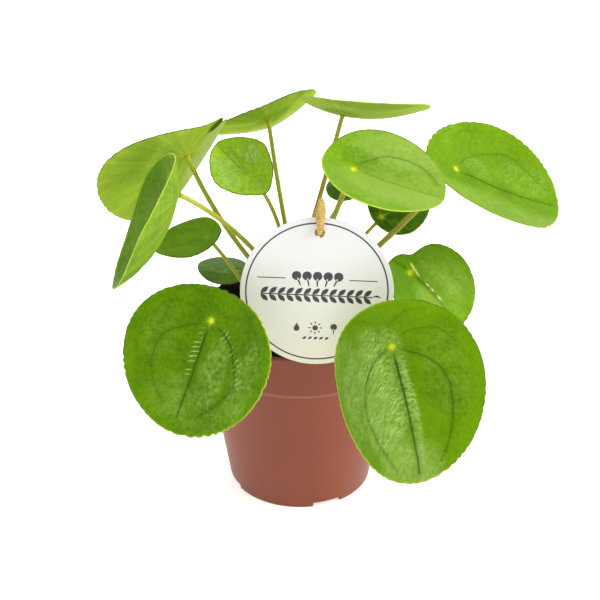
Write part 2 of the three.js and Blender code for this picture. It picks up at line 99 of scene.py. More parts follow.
STEM = {
    "root_z": 92, "top_z": 134, "root_radius": 5.6, "top_radius": 4.2, "tip_height": 3,
    "tip_radius": 2.6, "scars": 7, "scar_depth": 0.5, "unevenness": 0.07, "levels": 60,
    "green_from": 118, "green_over": 16,
}
STEM_JOIN_RADIUS = 4.6

BLADE = {
    "hub_thickness": 0.9, "rim_thickness": 0.5, "dimple": 0.7, "dimple_radius": 2.6,
    "valley": 0.12, "scallop_pitch": 5.4, "points_per_scallop": 7,
}
BLADE_RINGS = {"large": 60, "small": 40}
SMALL_LENGTH = 60
SCALLOP_POWER = 12  # how close to the rim the scallops stay
# A blade's waves: how wide each kind is and how high, in millimetres.
WAVES = {"broad": (21, 1.3), "pucker": (6.5, 0.5), "small": (3.4, 0.16)}
PUCKERS_TO_A_RADIAN = 3.2
STILL_RADIUS = 7  # round the hub
BEND_STEPS = 16
STALK = {"root_share": 1.15, "under_hub": 0.45, "soil_depth": 8, "sides": 16, "steps": 40}
# How much thicker a stalk is at each end, and over what length.
ROOT_FLARE = (0.3, 3)
HUB_FLARE = (0.25, 1.6)
STALK_KNOBS = (0.03, 0.7)  # how high, and radians to a millimetre

TAG = {
    "radius": 41, "thickness": 1.2, "foot": (9, -61.6, 108.8), "lean": 7, "turn": -2.4,
    "hole_radius": 2.7, "hole_from_edge": 8.2, "edge_rounding": 0.2,
}
INK_HEIGHT = 0.04
TIE = {
    "leaf": 4, "along_stalk": 0.36, "radius": 2.7, "end_radius": 1.4, "loop_radius": 0.5,
    "knot_radius": 3.4, "stand_off": 3.4, "below_edge": 1.5, "above_edge": 8.5, "back_at": 0.3,
    "swell_at": 0.18, "swell_width": 0.07, "twist_pitch": 13, "steps": 110, "frays": 60,
    "plies": 7, "knot_turns": 6, "knot_cord": 1.0,
}
PLY = {"offset": 0.6, "radius": 0.38, "core": 0.62}  # shares of the cord's radius

# Leaves, one row each, as in the part's source: the hub's place, the heading, pitch and
# roll, the size, the bending, and the stalk's start, bow and radius. Then what only
# shows: shade from bright to dark, partly the blade's own tone and partly painted shade
# and light, a painted pale sheen, depth of the scallops and how crumpled it is.
LEAF_FIELDS = (
    "hub heading pitch roll length width fold curl droop egg base "
    "stem soil bow stalk shade haze scallop crumple tan"
).split()
LEAF_ROWS = [
    ((-66, 18, 203.3), 134, 49.5, -3, 92, 95.5, 9, 20, 6.5, 0.06, 0.29,
     (178, 115), None, (-10.5, 0, -4.5), 1.4, 0.25, 0.2, 0.55, 0.3, 0.1),
    ((-65.5, -36.5, 197.5), 164, 80.5, -21, 86, 95, 5, 33, -72, 0.1, 0.23,
     (205, 119), None, (4, 0, 15), 1.3, 0.72, 0, 0.3, 0.3, 0.2),
    ((-19.9, 69.5, 209.8), 85, 31, -24, 79, 72.5, 8, 13, -38, 0.01, 0.28,
     (100, 121), None, (-2.5, 0, 4.5), 1.3, 0.3, 0.3, 0.4, 0.4, 0.1),
    ((25.4, 40, 221.5), -1, 12, -22, 78, 71, 2.5, 5, -46, -0.05, 0.33,
     (130, 129), None, (3, 0, 9), 1.3, 0.3, 0.3, 0.4, 0.4, 0.7),
    ((-29, 6, 193.2), 136, -22, -37, 47, 41.5, 21, 20, -66, -0.05, 0.4,
     (175, 127), None, (5, 0, 20.5), 1.1, -0.45, 0, 0.3, 1.3, 0.2),
    ((29, -22.4, 207), -12, 20, 19, 69.5, 66.5, 15, -1, -17, 0.08, 0.26,
     (-45, 121), None, (0, 0, 6), 1.4, 0.14, 0.5, 0.12, 0.35, 0.3),
    ((88.7, 5, 198.4), 11, 31, 33, 90, 75.5, 3, 36, -29, -0.01, 0.25,
     (3, 115), None, (4, 0, -4), 1.6, 0.2, 0.2, 0.6, 0.4, 0.7),
    ((49.4, 32, 159.4), 17, -21, 25.5, 36.5, 44, 5, 2, -2, 0.17, 0.15,
     (28, 119), None, (3, 0, 4), 1.1, 0.9, 0.3, 0.3, 0.4, 0.3),
    ((32, 45, 174.6), 86, -14, -27, 45.5, 36, 4, 0, 27, 0.03, 0.29,
     (62, 120), None, (-7, 0, 7), 1.1, 1, 0, 0.3, 0.4, 0.3),
    ((-55.4, 15, 153), 188, 23, -7.5, 42.5, 44, 19, -18, -33, 0.15, 0.23,
     None, (-17, -6), (0, 0, 10), 1.1, 0.2, 0.3, 0.15, 0.4, 0.2),
    ((-38.4, 28, 125.8), 173, -9, 0, 32, 41, -3, -5, 8, 0.1, 0.22,
     None, (-13, 9), (-2, 0, 5), 1, 0.9, 0.6, 0.15, 0.4, 0.2),
    ((63, -14.8, 142.3), -33, 28, 11, 56.5, 64.5, 14.5, 1, 37.5, 0.07, 0.24,
     (-22, 112), None, (4, 0, 5), 1.3, 0.22, 0.2, 0.3, 0.4, 0.2),
    ((-45.8, -79, 143.6), -132, 60, -15, 79, 86.5, 3, 8, -2, 0.08, 0.22,
     (-140, 113), None, (-17, 6, 8), 1.5, 0.58, 0, 0.6, 0.5, 0.2),
    ((46.4, -94.5, 136.6), -62, 54.5, 53, 93, 84.5, 2, -28, -28, 0.12, 0.25,
     (-72, 115), None, (34, 9, -16), 1.6, 0.4, 0.1, 0.45, 0.6, 0.2),
]
LEAVES = [dict(zip(LEAF_FIELDS, row)) for row in LEAF_ROWS]
# Over 1 where a leaf's outline comes to corners.
CORNER = {5: 1.2}
# A notch in the rim: where it sits round the leaf, and its share of the radius.
SINUS = {1: (222, 0.16), 12: (152, 0.3)}
SINUS_WIDTH = 14  # degrees round the rim
# A half that overlaps the other along the midrib: how high it stands, how far that
# reaches across, and how far along.
OVERLAP = {12: (1.2, 9, 30)}
OVERLAP_STEP = 0.35
OVERLAP_MIDDLE = 6
# A painted highlight along that half's edge: each stretch's start and end.
PAINTED_EDGE_HIGHLIGHT = {
    12: [
        ((-3, 5), (4.5, 1.8)), ((11.5, 1.2), (12.5, 1.2)), ((15.5, 1), (16.5, 1.2)),
        ((21, 0.8), (23, 1.2)),
    ],
}
PAINTED_EDGE_HIGHLIGHT_WIDTH = 0.55
# How much darker or paler than the blade its veins are, the darkness partly their own
# colour and partly painted shade in and beside their grooves: the midrib, the long vein
# on the left, the one on the right, and the rest.
DARK_VEINS_AND_PAINTED_SHADE = {
    1: (1, 0.7, 0.8, 0.6), 2: (0.6, 0.5, 0.5, 0.4), 3: (1, 0.8, 0.8, 0.5), 4: (1, 1, 1, 0.5),
    5: (0.5, 0, 0, 0.2), 6: (0.5, 0.85, 0, 0.2), 7: (1, 0.7, 0.3, 0.4), 9: (0.4, 0.2, 0.2, 0.1),
    10: (0.4, 0.3, 0.3, 0.3), 11: (0.3, 0.3, 0.3, 0.3),
    12: (0.5, 0.15, 0.15, 0.15), 13: (1.25, 1.2, 0.8, 0.7), 14: (1.3, 1.05, 1.05, 0.9),
}
PALE_VEINS = {8: (0.3, 0.2, 0.2, 0.1)}
EVERY_VEIN = (1, 1, 1, 1)
NO_VEIN = (0, 0, 0, 0)
HUB_GLOW = {5: 0.5, 9: 0.2, 10: 0.5, 11: 0.1}
# A rim's painted highlight: its brightness, and the way round the leaf where it is
# brightest, with the change.
PAINTED_RIM_HIGHLIGHTS = {
    1: (0.1, 0, 0.1), 2: (0.9, 180, 0.3), 3: (0.1, 0, 0.1), 4: (0.5, -90, 0.5), 5: (0, 0, 0),
    6: (0.5, -90, 0.6), 7: (0.3, 0, 0.1), 10: (0, 0, 0), 11: (0, 0, 0), 12: (0, 0, 0),
    13: (0.25, 60, 0.45), 14: (0.6, -100, 0.6),
}
USUAL_RIM_HIGHLIGHT = (0.5, 0, 0)
RIM_WIDTH = 0.9
HUB_GLOW_RADIUS = 1.5
HUB_RAYS = {"radius": 4.5, "strength": 0.45}
# How blotchy a blade is.
MOTTLED = {1: 0.2, 2: 0.3, 5: 0.65, 6: 0.3, 7: 0.25, 8: 0.6, 10: 0.5, 11: 0.3, 12: 0.25}
USUAL_MOTTLED = 0.1
# How dark a blade's underside is, where that isn't as dark as the upper face.
UNDER_SHADE = {1: -0.1, 2: 0.74, 3: -0.06, 4: -0.2}

# Where a leaf shows wrinkles with painted highlights and painted shade, a pimpled peel
# with painted gloss or short painted highlights across the veins, and where it has a
# painted pale sheen, a deeper green that also stands for painted light shining through
# the blade, or painted shade, as at a corner that curls under: the middle and half size
# of an oval, in millimetres from the hub towards the tip and to the left, then how
# strong it is.
# Wrinkles: bumps, lower roughness, painted highlights on crests and painted shade in furrows.
WRINKLES_AND_PAINTED_SHINE = {
    1: [(25, 0, 44, 44, 0.4)],
    2: [(20, -16, 50, 30, 0.16), (-14, 0, 8, 30, 0.6)],
    5: [(8, 3, 14, 7, 0.6)],
    6: [(30, 20, 26, 8, 0.3)],
    7: [(14, 8, 14, 7, 0.3)],
    8: [(12, 6, 12, 7, 0.5)],
    10: [(10, 4, 20, 14, 0.3)],
    12: [(18, 8, 22, 10, 0.3)],
    13: [(44, -8, 14, 16, 0.25)],
    14: [
        (26, -13, 36, 15, 1.3), (2, -8, 16, 16, 0.9), (34, 2.4, 32, 3.8, 1.2),
        (6, -30, 24, 12, 0.5),
    ],
}
USUAL_WRINKLES_AND_PAINTED_SHINE = [(16, 4, 18, 6, 0.3)]
# Pimpled peel: bumps, lower roughness and painted gloss on the pimples.
PEEL_AND_PAINTED_GLOSS = {
    5: [
        (6, 0, 34, 34, 0.4), (8, -10, 8, 6, 3.4), (19, 11, 7, 6, 3), (4.5, 12, 10, 7, 3),
        (16, -3, 6, 5, 1.4),
    ],
    6: [(20, 18, 36, 18, 0.6), (46, 6, 12, 20, 0.5), (20, -18, 40, 14, 0.3)],
    7: [(30, -20, 44, 16, 0.4), (45, 12, 20, 12, 0.5)],
    12: [(14, 14, 20, 14, 0.5), (20, -10, 16, 8, 0.5)],
    13: [(28, 11, 24, 9, 1), (46, 12, 14, 18, 0.4), (24, 30, 26, 8, 0.7), (15, -24, 20, 12, 0.2)],
    14: [(62, -4, 14, 20, 1.2), (24, -31, 28, 8, 1), (20, 24, 26, 14, 0.3)],
}
# Painted highlights in short strokes across the veins.
PAINTED_TICK_HIGHLIGHTS = {
    13: [
        (19, -2.8, 17, 2.6, 1), (5, 11, 4, 3.5, 1), (10, 18, 4.5, 3.5, 1), (17, 23.5, 5, 3.5, 1),
        (25, 27, 5, 3.5, 0.8),
    ],
    14: [(28, 4, 26, 3, 0.7)],
}
# Painted pale sheen: ovals that stand for light reflected off the blade.
PAINTED_SHEEN = {
    1: [(4, -30, 60, 22, 1), (20, 10, 70, 60, 0.2)],
    2: [(20, 0, 90, 90, 0.18)],
    3: [(36, 0, 26, 50, 1), (-12, 0, 40, 60, 0.2)],
    4: [(14, 24, 50, 20, 1), (10, -20, 70, 40, 0.4)],
    5: [(5, 0, 40, 40, 0.4), (-10, 0, 7, 7, 0.8)],
    6: [(24, -8, 40, 16, 0.8), (45, 14, 20, 16, 0.6), (20, 22, 30, 14, 0.8)],
    7: [(26, -24, 52, 17, 0.6)],
    10: [(12, 0, 26, 26, 0.5)],
    12: [(22, -5, 18, 8, 1), (14, 18, 24, 14, 0.3)],
    14: [(22, -16, 38, 13, 0.6), (60, -4, 16, 20, 0.7)],
}
# A deeper green: on undersides painted light shining through the blade, elsewhere a darker patch.
DEEP_GREEN_AND_PAINTED_BACKLIGHT = {
    1: [(24, 24, 44, 24, 0.4)],
    3: [(-16, -6, 18, 50, 0.6), (0, -4, 12, 14, 0.9)],
    4: [(16, -32, 60, 14, 0.7), (0, 0, 14, 12, 0.7)],
    6: [(2, 8, 12, 9, 0.5)],
    12: [(0, -16, 14, 16, 0.7)],
}
# Painted shade where a corner curls under.
PAINTED_CURL_SHADE = {1: [(-19, -19, 8, 12, 1.3)]}

# Veins of the right half, which the left half mirrors: shares of the leaf's length and
# of half its width, from the hub, and each vein's strength.
MIDRIB = [(0, 0), (0.2, 0), (0.45, 0), (0.7, 0)]
LATERAL = [
    (0, 0), (0.04, 0.2), (0.11, 0.38), (0.21, 0.52), (0.36, 0.58), (0.52, 0.49), (0.65, 0.26),
]
SIDE_VEINS = [
    (0.5, [(0, 0), (-0.05, 0.2), (-0.07, 0.42), (-0.02, 0.64), (0.07, 0.79)]),
    (0.35, [(0, 0), (-0.09, 0.08), (-0.15, 0.22), (-0.17, 0.4), (-0.12, 0.56)]),
    (0.4, [(0.09, 0.34), (0.065, 0.56), (0.09, 0.74), (0.2, 0.86)]),
    (0.4, [(0.21, 0.52), (0.2, 0.68), (0.25, 0.8), (0.36, 0.8)]),
    (0.35, [(0.37, 0.58), (0.4, 0.7), (0.47, 0.68)]),
    (0.3, [(0.52, 0.49), (0.56, 0.53), (0.61, 0.42)]),
    (0.25, [(0.2, 0), (0.19, 0.22), (0.21, 0.5)]),
    (0.35, [(0.34, 0), (0.36, 0.24), (0.37, 0.57)]),
    (0.35, [(0.48, 0), (0.52, 0.18), (0.53, 0.46)]),
]
VEIN_WIDTH = 0.62
VEIN_DEPTH = {"upper": 0.22, "under": 0.3}
# The hollow beside a vein's groove is shallow in the blade, and its colour darkened as painted
# shade.
VEIN_HOLLOW = {"depth": 0.28, "width": 3.4}  # beside the groove, as shares of it
TICKS_PER_MM = 0.4

# Grainy materials: the colour's noise (scale, detail, roughness) and the part of it that
# shows, the two colours, the bump's noise, strength and depth, the roughness, the
# specular level, and what an attribute lays over the colour, with its share.
GRAINED = {
    "soil": ((160, 4, 0.6), (0.35, 0.7), (18, 13, 8), (44, 32, 20),
             (1300, 3, 0.5), (0.8, 0.8), 0.9, 0.2, None),
    "fleck": ((900, 3, 0.5), (0.3, 0.7), (150, 132, 104), (206, 196, 174),
              (900, 3, 0.5), (0.6, 0.4), 0.85, 0.5, None),
    "fibre": ((700, 3, 0.5), (0.3, 0.7), (70, 48, 28), (126, 94, 58),
              (700, 3, 0.5), (0.5, 0.3), 0.85, 0.5, None),
    "stem": ((420, 5, 0.65), (0.3, 0.7), (88, 66, 36), (134, 112, 62),
             (420, 5, 0.65), (0.7, 0.8), 0.8, 0.5, ("along", 1, (118, 132, 50))),
    "ink": ((1500, 2, 0.5), (0.3, 0.8), (40, 40, 42), (66, 66, 66), None, None, 0.5, 0.5, None),
    "jute": ((1500, 4, 0.6), (0.34, 0.6), (148, 110, 54), (222, 192, 116),
             (1500, 4, 0.6), (0.8, 0.5), 0.9, 0.15, ("along", 0.15, (206, 168, 108))),
}


def place(points):
    """Millimetres about the pot's axis, as metres in the shared frame."""
    return np.asarray(points, float) * MM + AXIS


def unit(vector):
    vector = np.asarray(vector, float)
    return vector / np.linalg.norm(vector, axis=-1, keepdims=True)


def turned_about(vector, axis, degrees):
    angle = math.radians(degrees)
    return vector * math.cos(angle) + np.cross(axis, vector) * math.sin(angle)


def smooth_noise(x, y, seed):
    """Gradient noise over a plane, about -0.7 to 0.7, one feature to a unit."""
    angles = np.random.default_rng(seed).uniform(0, 2 * math.pi, (64, 64))
    column, row = np.floor(x).astype(int), np.floor(y).astype(int)
    dx, dy = x - column, y - row
    fade_x = dx**3 * (dx * (dx * 6 - 15) + 10)
    fade_y = dy**3 * (dy * (dy * 6 - 15) + 10)

    def corner(i, j):
        angle = angles[(column + i) % 64, (row + j) % 64]
        return np.cos(angle) * (dx - i) + np.sin(angle) * (dy - j)

    low = corner(0, 0) * (1 - fade_x) + corner(1, 0) * fade_x
    high = corner(0, 1) * (1 - fade_x) + corner(1, 1) * fade_x
    return low * (1 - fade_y) + high * fade_y


def smooth_path(points, count):
    """A smooth curve through the points, as count + 1 points."""
    points = np.asarray(points, float)
    points = np.vstack([2 * points[0] - points[1], points, 2 * points[-1] - points[-2]])
    share = np.linspace(0, len(points) - 3, count + 1)
    i = np.minimum(share.astype(int), len(points) - 4)
    before, start, end, after = (points[i + step] for step in range(4))
    t = (share - i)[:, None]
    leaving, arriving = (end - before) / 2, (after - start) / 2
    return (
        start * (2 * t**3 - 3 * t**2 + 1)
        + leaving * (t**3 - 2 * t**2 + t)
        + end * (3 * t**2 - 2 * t**3)
        + arriving * (t**3 - t**2)
    )


def run_along(path):
    """How far along a path each of its points is."""
    return np.concatenate([[0], np.cumsum(np.linalg.norm(np.diff(path, axis=0), axis=1))])


def even_steps(path, count):
    """The same path as count + 1 points, evenly spaced along it."""
    run = run_along(path)
    at = np.linspace(0, run[-1], count + 1)
    return np.stack([np.interp(at, run, path[:, axis]) for axis in range(3)], -1)


def arc(start, corner, end, steps):
    """A curve from start to end that leaves and arrives along the lines to the corner."""
    share = np.linspace(0, 1, steps + 1)[:, None]
    return (1 - share) ** 2 * start + 2 * share * (1 - share) * corner + share**2 * end


def spoke(angle):
    return np.array([math.cos(angle), math.sin(angle), 0.0])


def circle(radius, centre=(0, 0), count=160):
    angles = np.linspace(0, 2 * math.pi, count, endpoint=False)
    return np.stack([centre[0] + radius * np.cos(angles), centre[1] + radius * np.sin(angles)], -1)


# ---- Meshes ----


def new_mesh(name, points, faces):
    mesh = bpy.data.meshes.new(name)
    mesh.from_pydata(np.asarray(points, float).tolist(), [], [list(face) for face in faces])
    return mesh


def linked(name, data):
    made = bpy.data.objects.new(name, data)
    bpy.context.scene.collection.objects.link(made)
    return made


def modified_mesh(holder):
    """The mesh that an object's modifiers or curve make."""
    bpy.context.view_layer.update()
    evaluated = holder.evaluated_get(bpy.context.evaluated_depsgraph_get())
    return bpy.data.meshes.new_from_object(evaluated)


def add_piece(name, points, faces, materials, nodes=(), attributes=None, groups=None):
    """One mesh piece that rides on the part. groups gives each face's material."""
    mesh = new_mesh(name, place(points), faces)
    mesh.validate()
    mesh.shade_smooth()
    for material in materials:
        mesh.materials.append(material)
    if groups is not None:
        mesh.polygons.foreach_set("material_index", np.asarray(groups, np.int32))
    for key, values in (attributes or {}).items():
        values = np.asarray(values, np.float32)
        kind, field = ("FLOAT", "value") if values.ndim == 1 else ("FLOAT_VECTOR", "vector")
        mesh.attributes.new(key, kind, "POINT").data.foreach_set(field, values.ravel())
    mesh.update()
    piece = linked(name, mesh)
    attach(piece, RIDES_ON)
    if nodes:
        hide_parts(*nodes)
    return piece


def ring_faces(rings, sides, first=0):
    """Quads between rings of points that follow each other, ring by ring."""
    faces = []
    for ring in range(rings - 1):
        low = first + ring * sides
        for i in range(sides):
            after = (i + 1) % sides
            faces.append((low + i, low + after, low + sides + after, low + sides + i))
    return faces


def end_fans(start, end, first, last, sides):
    """Fans that close a row of rings, from its end points to the rings at its ends."""
    faces = []
    for i in range(sides):
        after = (i + 1) % sides
        faces.append((start, first + after, first + i))
        faces.append((end, last + i, last + after))
    return faces


def square_to(path):
    """Two directions square to a path at each point, with no twist between points."""
    way = unit(np.gradient(path, axis=0))
    side = unit(np.cross(way[0], (0.31, 0.17, 0.94)))
    sides = []
    for tangent in way:
        side = unit(side - tangent * np.dot(side, tangent))
        sides.append(side)
    return np.array(sides), np.cross(way, sides)


def tube(path, radii, sides):
    """A closed round bar along a path: its points, faces, and shares along it."""
    path = np.asarray(path, float)
    count = len(path)
    side, other = square_to(path)
    round_path = circle(1, count=sides)[:, :, None]
    spokes = side[:, None] * round_path[:, 0] + other[:, None] * round_path[:, 1]
    points = path[:, None] + np.asarray(radii)[:, None, None] * spokes
    points = np.vstack([points.reshape(-1, 3), path[0], path[-1]])
    first_end = count * sides
    faces = ring_faces(count, sides)
    faces += end_fans(first_end, first_end + 1, 0, first_end - sides, sides)
    along = np.repeat(np.linspace(0, 1, count), sides)
    return points, faces, np.concatenate([along, [0, 1]])


def joined(parts):
    """Several (points, faces, values) as one."""
    points, faces, values = [], [], []
    start = 0
    for part_points, part_faces, part_values in parts:
        points.append(part_points)
        faces += [tuple(start + i for i in face) for face in part_faces]
        values.append(part_values)
        start += len(part_points)
    return np.vstack(points), faces, np.concatenate(values)


def lathe(profile, sides):
    """A turned solid from a profile of (radius, z) that starts and ends on the axis."""
    inner = profile[1:-1]
    rings = [np.column_stack([circle(r, count=sides), np.full(sides, z)]) for r, z in inner]
    points = np.vstack([(0, 0, profile[0][1]), *rings, (0, 0, profile[-1][1])])
    top = len(points) - 1
    faces = ring_faces(len(inner), sides, 1)
    return points, faces + end_fans(0, top, 1, top - sides, sides)


# ---- Materials ----


class Shader:
    """A material's or world's node tree, built one node at a time."""

    def __init__(self, name, kind=bpy.data.materials, last="Principled BSDF"):
        self.owner = kind.new(name)
        self.owner.use_nodes = True
        self.tree = self.owner.node_tree
        self.last = self.tree.nodes[last]

    def node(self, kind, inputs=None, **settings):
        made = self.tree.nodes.new(kind)
        for key, value in settings.items():
            setattr(made, key, value)
        for key, value in (inputs or {}).items():
            self.set(made.inputs[key], value)
        return made

    def set(self, socket, value):
        if isinstance(value, bpy.types.NodeSocket):
            self.tree.links.new(value, socket)
        else:
            socket.default_value = value

    def attribute(self, name, output="Fac"):
        return self.node("ShaderNodeAttribute", attribute_name=name).outputs[output]

    def place(self):
        """Where the point is, in metres."""
        return self.node("ShaderNodeTexCoord").outputs["Object"]

    def noise(self, vector, scale, detail, roughness=0.5, distortion=0.0):
        inputs = {
            "Vector": vector, "Scale": scale, "Detail": detail, "Roughness": roughness,
            "Distortion": distortion,
        }
        return self.node("ShaderNodeTexNoise", inputs).outputs["Fac"]

    def math(self, operation, a, b=0.0, clamp=False):
        inputs = {0: a, 1: b}
        return self.node("ShaderNodeMath", inputs, operation=operation, use_clamp=clamp).outputs[0]

    def times(self, a, b, clamp=False):
        return self.math("MULTIPLY", a, b, clamp)

    def total(self, first, *others):
        for other in others:
            first = self.math("ADD", first, other)
        return first

    def squeezed(self, vector, shares):
        inputs = {0: vector, 1: shares}
        return self.node("ShaderNodeVectorMath", inputs, operation="MULTIPLY").outputs[0]

    def spread(self, value, low, high, to_low=0.0, to_high=1.0):
        inputs = {0: value, 1: low, 2: high, 3: to_low, 4: to_high}
        return self.node("ShaderNodeMapRange", inputs).outputs[0]

    def mix(self, share, a, b):
        made = self.node("ShaderNodeMix", data_type="RGBA")
        for socket, value in ((0, share), (6, a), (7, b)):
            self.set(made.inputs[socket], value)
        return made.outputs[2]

    def layered(self, colour, *layers):
        """A colour with others laid over it, each a share and a screen colour."""
        for share, over in layers:
            colour = self.mix(share, colour, rgb(*over))
        return colour

    def rim(self, broad, strength, dark, light):
        """The layer of a blade's rim, a darker edge line with a painted highlight: its share and
        colour.
        """
        wander = self.spread(broad, 0.35, 0.65, -0.2, 0.2)
        lit = self.math("ADD", self.attribute("painted_rim_highlight"), wander, True)
        return self.times(self.attribute("rim"), strength), self.mix(lit, rgb(*dark), rgb(*light))

    def bump(self, height, strength, distance, normal=None):
        inputs = {"Height": height, "Strength": strength, "Distance": distance * MM}
        if normal is not None:
            inputs["Normal"] = normal
        return self.node("ShaderNodeBump", inputs).outputs[0]

    def ticks(self, flat, lines):
        """Short thin painted highlights that stand square on the veins."""
        along = self.times(self.attribute("tick_run"), TICKS_PER_MM)
        bent = self.total(along, self.noise(flat, 0.1, 1.0))
        wave = self.math("SINE", self.times(bent, 2 * math.pi))
        strokes = self.squeezed(lines, (0.5, 0.12, 1))
        broken = self.spread(self.noise(strokes, 1.0, 1.0), 0.4, 0.56)
        stroke = self.times(self.spread(wave, 0.55, 1.0, 0.0, 0.9), broken)
        return self.times(stroke, self.attribute("painted_tick_highlights"))

    def finish(self, colour, normal=None, roughness=0.5, specular=0.5, tint=(1, 1, 1, 1)):
        inputs = {
            "Base Color": colour, "Roughness": roughness, "Specular IOR Level": specular,
            "Specular Tint": tint,
        }
        if normal is not None:
            inputs["Normal"] = normal
        for key, value in inputs.items():
            self.set(self.last.inputs[key], value)
        return self.owner


def rgb(red, green, blue):
    """A screen colour from 0 to 255, as the linear colour that shaders take."""
    share = np.array([red, green, blue]) / 255
    linear = np.where(share <= 0.04045, share / 12.92, ((share + 0.055) / 1.055) ** 2.4)
    return (*linear.tolist(), 1.0)


def blade_upper_material():
    shader = Shader("blade_upper")
    field, times, spread = shader.attribute, shader.times, shader.spread
    flat, lines = field("flat", "Vector"), field("wrinkle", "Vector")
    streaks = shader.noise(shader.squeezed(lines, (0.7, 0.26, 1)), 1.0, 5.0, 0.66, 1.3)
    broad = shader.noise(flat, 0.05, 3.0)
    patchy = shader.noise(flat, 0.11, 2.0)
    peel = shader.noise(flat, 0.42, 3.0, 0.6)
    grain = shader.noise(flat, 1.1, 3.0, 0.7)
    spots = shader.noise(flat, 0.13, 1.0)
    broken = spread(patchy, 0.35, 0.6, 0.35, 1.0)
    wrinkles_and_painted_shine = times(field("wrinkles_and_painted_shine"), broken)
    peel_and_painted_gloss = times(field("peel_and_painted_gloss"), broken)
    # The shade value darkens or lightens the blade: partly its own tone, partly painted shade and
    # light.
    darker = shader.total(
        field("shade"),
        spread(broad, 0.3, 0.7, -0.15, 0.15),
        times(field("outer"), -0.14),
        spread(patchy, 0.3, 0.7, 0.06, -0.06),
        times(spread(peel, 0.3, 0.7, 0.4, -0.4), field("mottled")),
        spread(grain, 0.3, 0.7, 0.2, -0.2),
    )
    colour = shader.layered(
        rgb(108, 154, 0),
        (shader.math("MAXIMUM", darker, 0.0, True), (42, 84, 4)),
        (times(darker, -1.0, True), (176, 216, 24)),
        (spread(peel, 0.4, 0.7, 0.0, 0.16), (124, 166, 10)),
        (spread(spots, 0.74, 0.8, 0.0, 0.4), (150, 186, 40)),
        # Painted pale sheen, for light reflected off the blade.
        (times(field("haze"), 0.6), (148, 176, 68)),
        # A deeper green, partly painted light shining through the blade.
        (times(field("deep"), 0.5), (80, 134, 0)),
        # Painted shade in the wrinkles' furrows, then painted highlights on their crests.
        (times(spread(streaks, 0.48, 0.34, 0.0, 0.5), wrinkles_and_painted_shine), (52, 108, 0)),
        (times(spread(streaks, 0.42, 0.64, 0.2, 1.0), wrinkles_and_painted_shine), (178, 222, 104)),
        # Painted gloss on the pimpled peel.
        (times(spread(peel, 0.38, 0.66, 0.06, 0.5), peel_and_painted_gloss), (160, 198, 100)),
        # Painted highlights in short strokes across the veins.
        (shader.ticks(flat, lines), (176, 206, 124)),
        # Veins darker, partly painted shade in and beside their grooves.
        (times(field("vein"), 0.72, True), (28, 70, 2)),
        (times(field("pale"), 0.8), (160, 190, 70)),
    )
    # The rim: a darker edge line with a painted highlight on the side taken as lit.
    share, edge = shader.rim(broad, 0.8, (56, 78, 16), (202, 222, 76))
    colour = shader.layered(
        shader.mix(share, colour, edge),
        # A painted highlight along the edge of the overlapping half.
        (times(field("painted_edge_highlight"), 0.9), (246, 246, 160)),
        (field("hub"), (206, 224, 40)),
    )
    rough = shader.math("SUBTRACT", 0.48, times(shader.math("MAXIMUM", wrinkles_and_painted_shine, peel_and_painted_gloss), 0.2))
    normal = shader.bump(grain, 0.25, 0.3)
    normal = shader.bump(times(peel, shader.total(peel_and_painted_gloss, 0.2)), 0.6, 0.9, normal)
    normal = shader.bump(times(streaks, shader.total(wrinkles_and_painted_shine, 0.1)), 0.9, 1.6, normal)
    return shader.finish(colour, normal, rough, 0.13, (0.8, 1, 0.3, 1))


def blade_under_material():
    shader = Shader("blade_under")
    field, times, spread = shader.attribute, shader.times, shader.spread
    flat = field("flat", "Vector")
    brushed = shader.noise(shader.squeezed(flat, (0.05, 0.5, 1)), 1.0, 3.0)
    across = shader.node("ShaderNodeSeparateXYZ", {0: flat}).outputs
    bearing = shader.math("ARCTAN2", across["Y"], across["X"])
    reach = shader.node("ShaderNodeVectorMath", {0: flat}, operation="LENGTH").outputs["Value"]
    polar = shader.node("ShaderNodeCombineXYZ", {0: times(bearing, 7.0), 1: times(reach, 0.05)})
    rays = shader.noise(polar.outputs[0], 1.0, 4.0, 0.6)
    broad = shader.noise(flat, 0.06, 3.0)
    fine = shader.noise(flat, 0.6, 3.0, 0.6)
    darker = shader.total(
        field("under_shade"),
        spread(broad, 0.3, 0.7, -0.2, 0.2),
        spread(fine, 0.3, 0.7, 0.14, -0.14),
        times(spread(rays, 0.35, 0.65, 0.4, -0.4), spread(reach, 3, 18, 0.2, 1.0)),
    )
    colour = shader.layered(
        rgb(142, 174, 18),
        (shader.math("MAXIMUM", darker, 0.0, True), (88, 132, 8)),
        (times(darker, -1.0, True), (190, 214, 40)),
        (spread(brushed, 0.4, 0.65, 0.0, 0.3), (164, 188, 50)),
        # Painted pale sheen, for light reflected off the underside.
        (times(field("haze"), 0.7), (170, 188, 122)),
        # A deeper green, painted light shining through the blade.
        (times(field("deep"), 0.6), (84, 132, 0)),
        # Painted shade where a corner curls under.
        (times(field("dark"), 0.9), (62, 96, 4)),
        (times(shader.total(field("vein"), field("pale")), 0.25, True), (158, 186, 60)),
    )
    # The rim: a darker edge line with a painted highlight on the side taken as lit.
    share, edge = shader.rim(broad, 0.6, (74, 100, 20), (190, 212, 80))
    colour = shader.layered(shader.mix(share, colour, edge), (field("hub"), (184, 200, 50)))
    normal = shader.bump(brushed, 0.4, 0.6, shader.bump(fine, 0.25, 0.4))
    return shader.finish(colour, normal, specular=0.0, tint=(0.9, 1, 0.4, 1))


def stalk_material():
    shader = Shader("stalk")
    streaks = shader.noise(shader.place(), 900.0, 3.0)
    colour = shader.layered(
        rgb(140, 148, 22),
        (shader.attribute("along"), (188, 192, 56)),
        (shader.attribute("tan"), (152, 134, 46)),
        (shader.spread(streaks, 0.35, 0.7, 0.0, 0.3), (112, 124, 14)),
    )
    return shader.finish(colour, shader.bump(streaks, 0.2, 0.3), 0.36, 0.3)


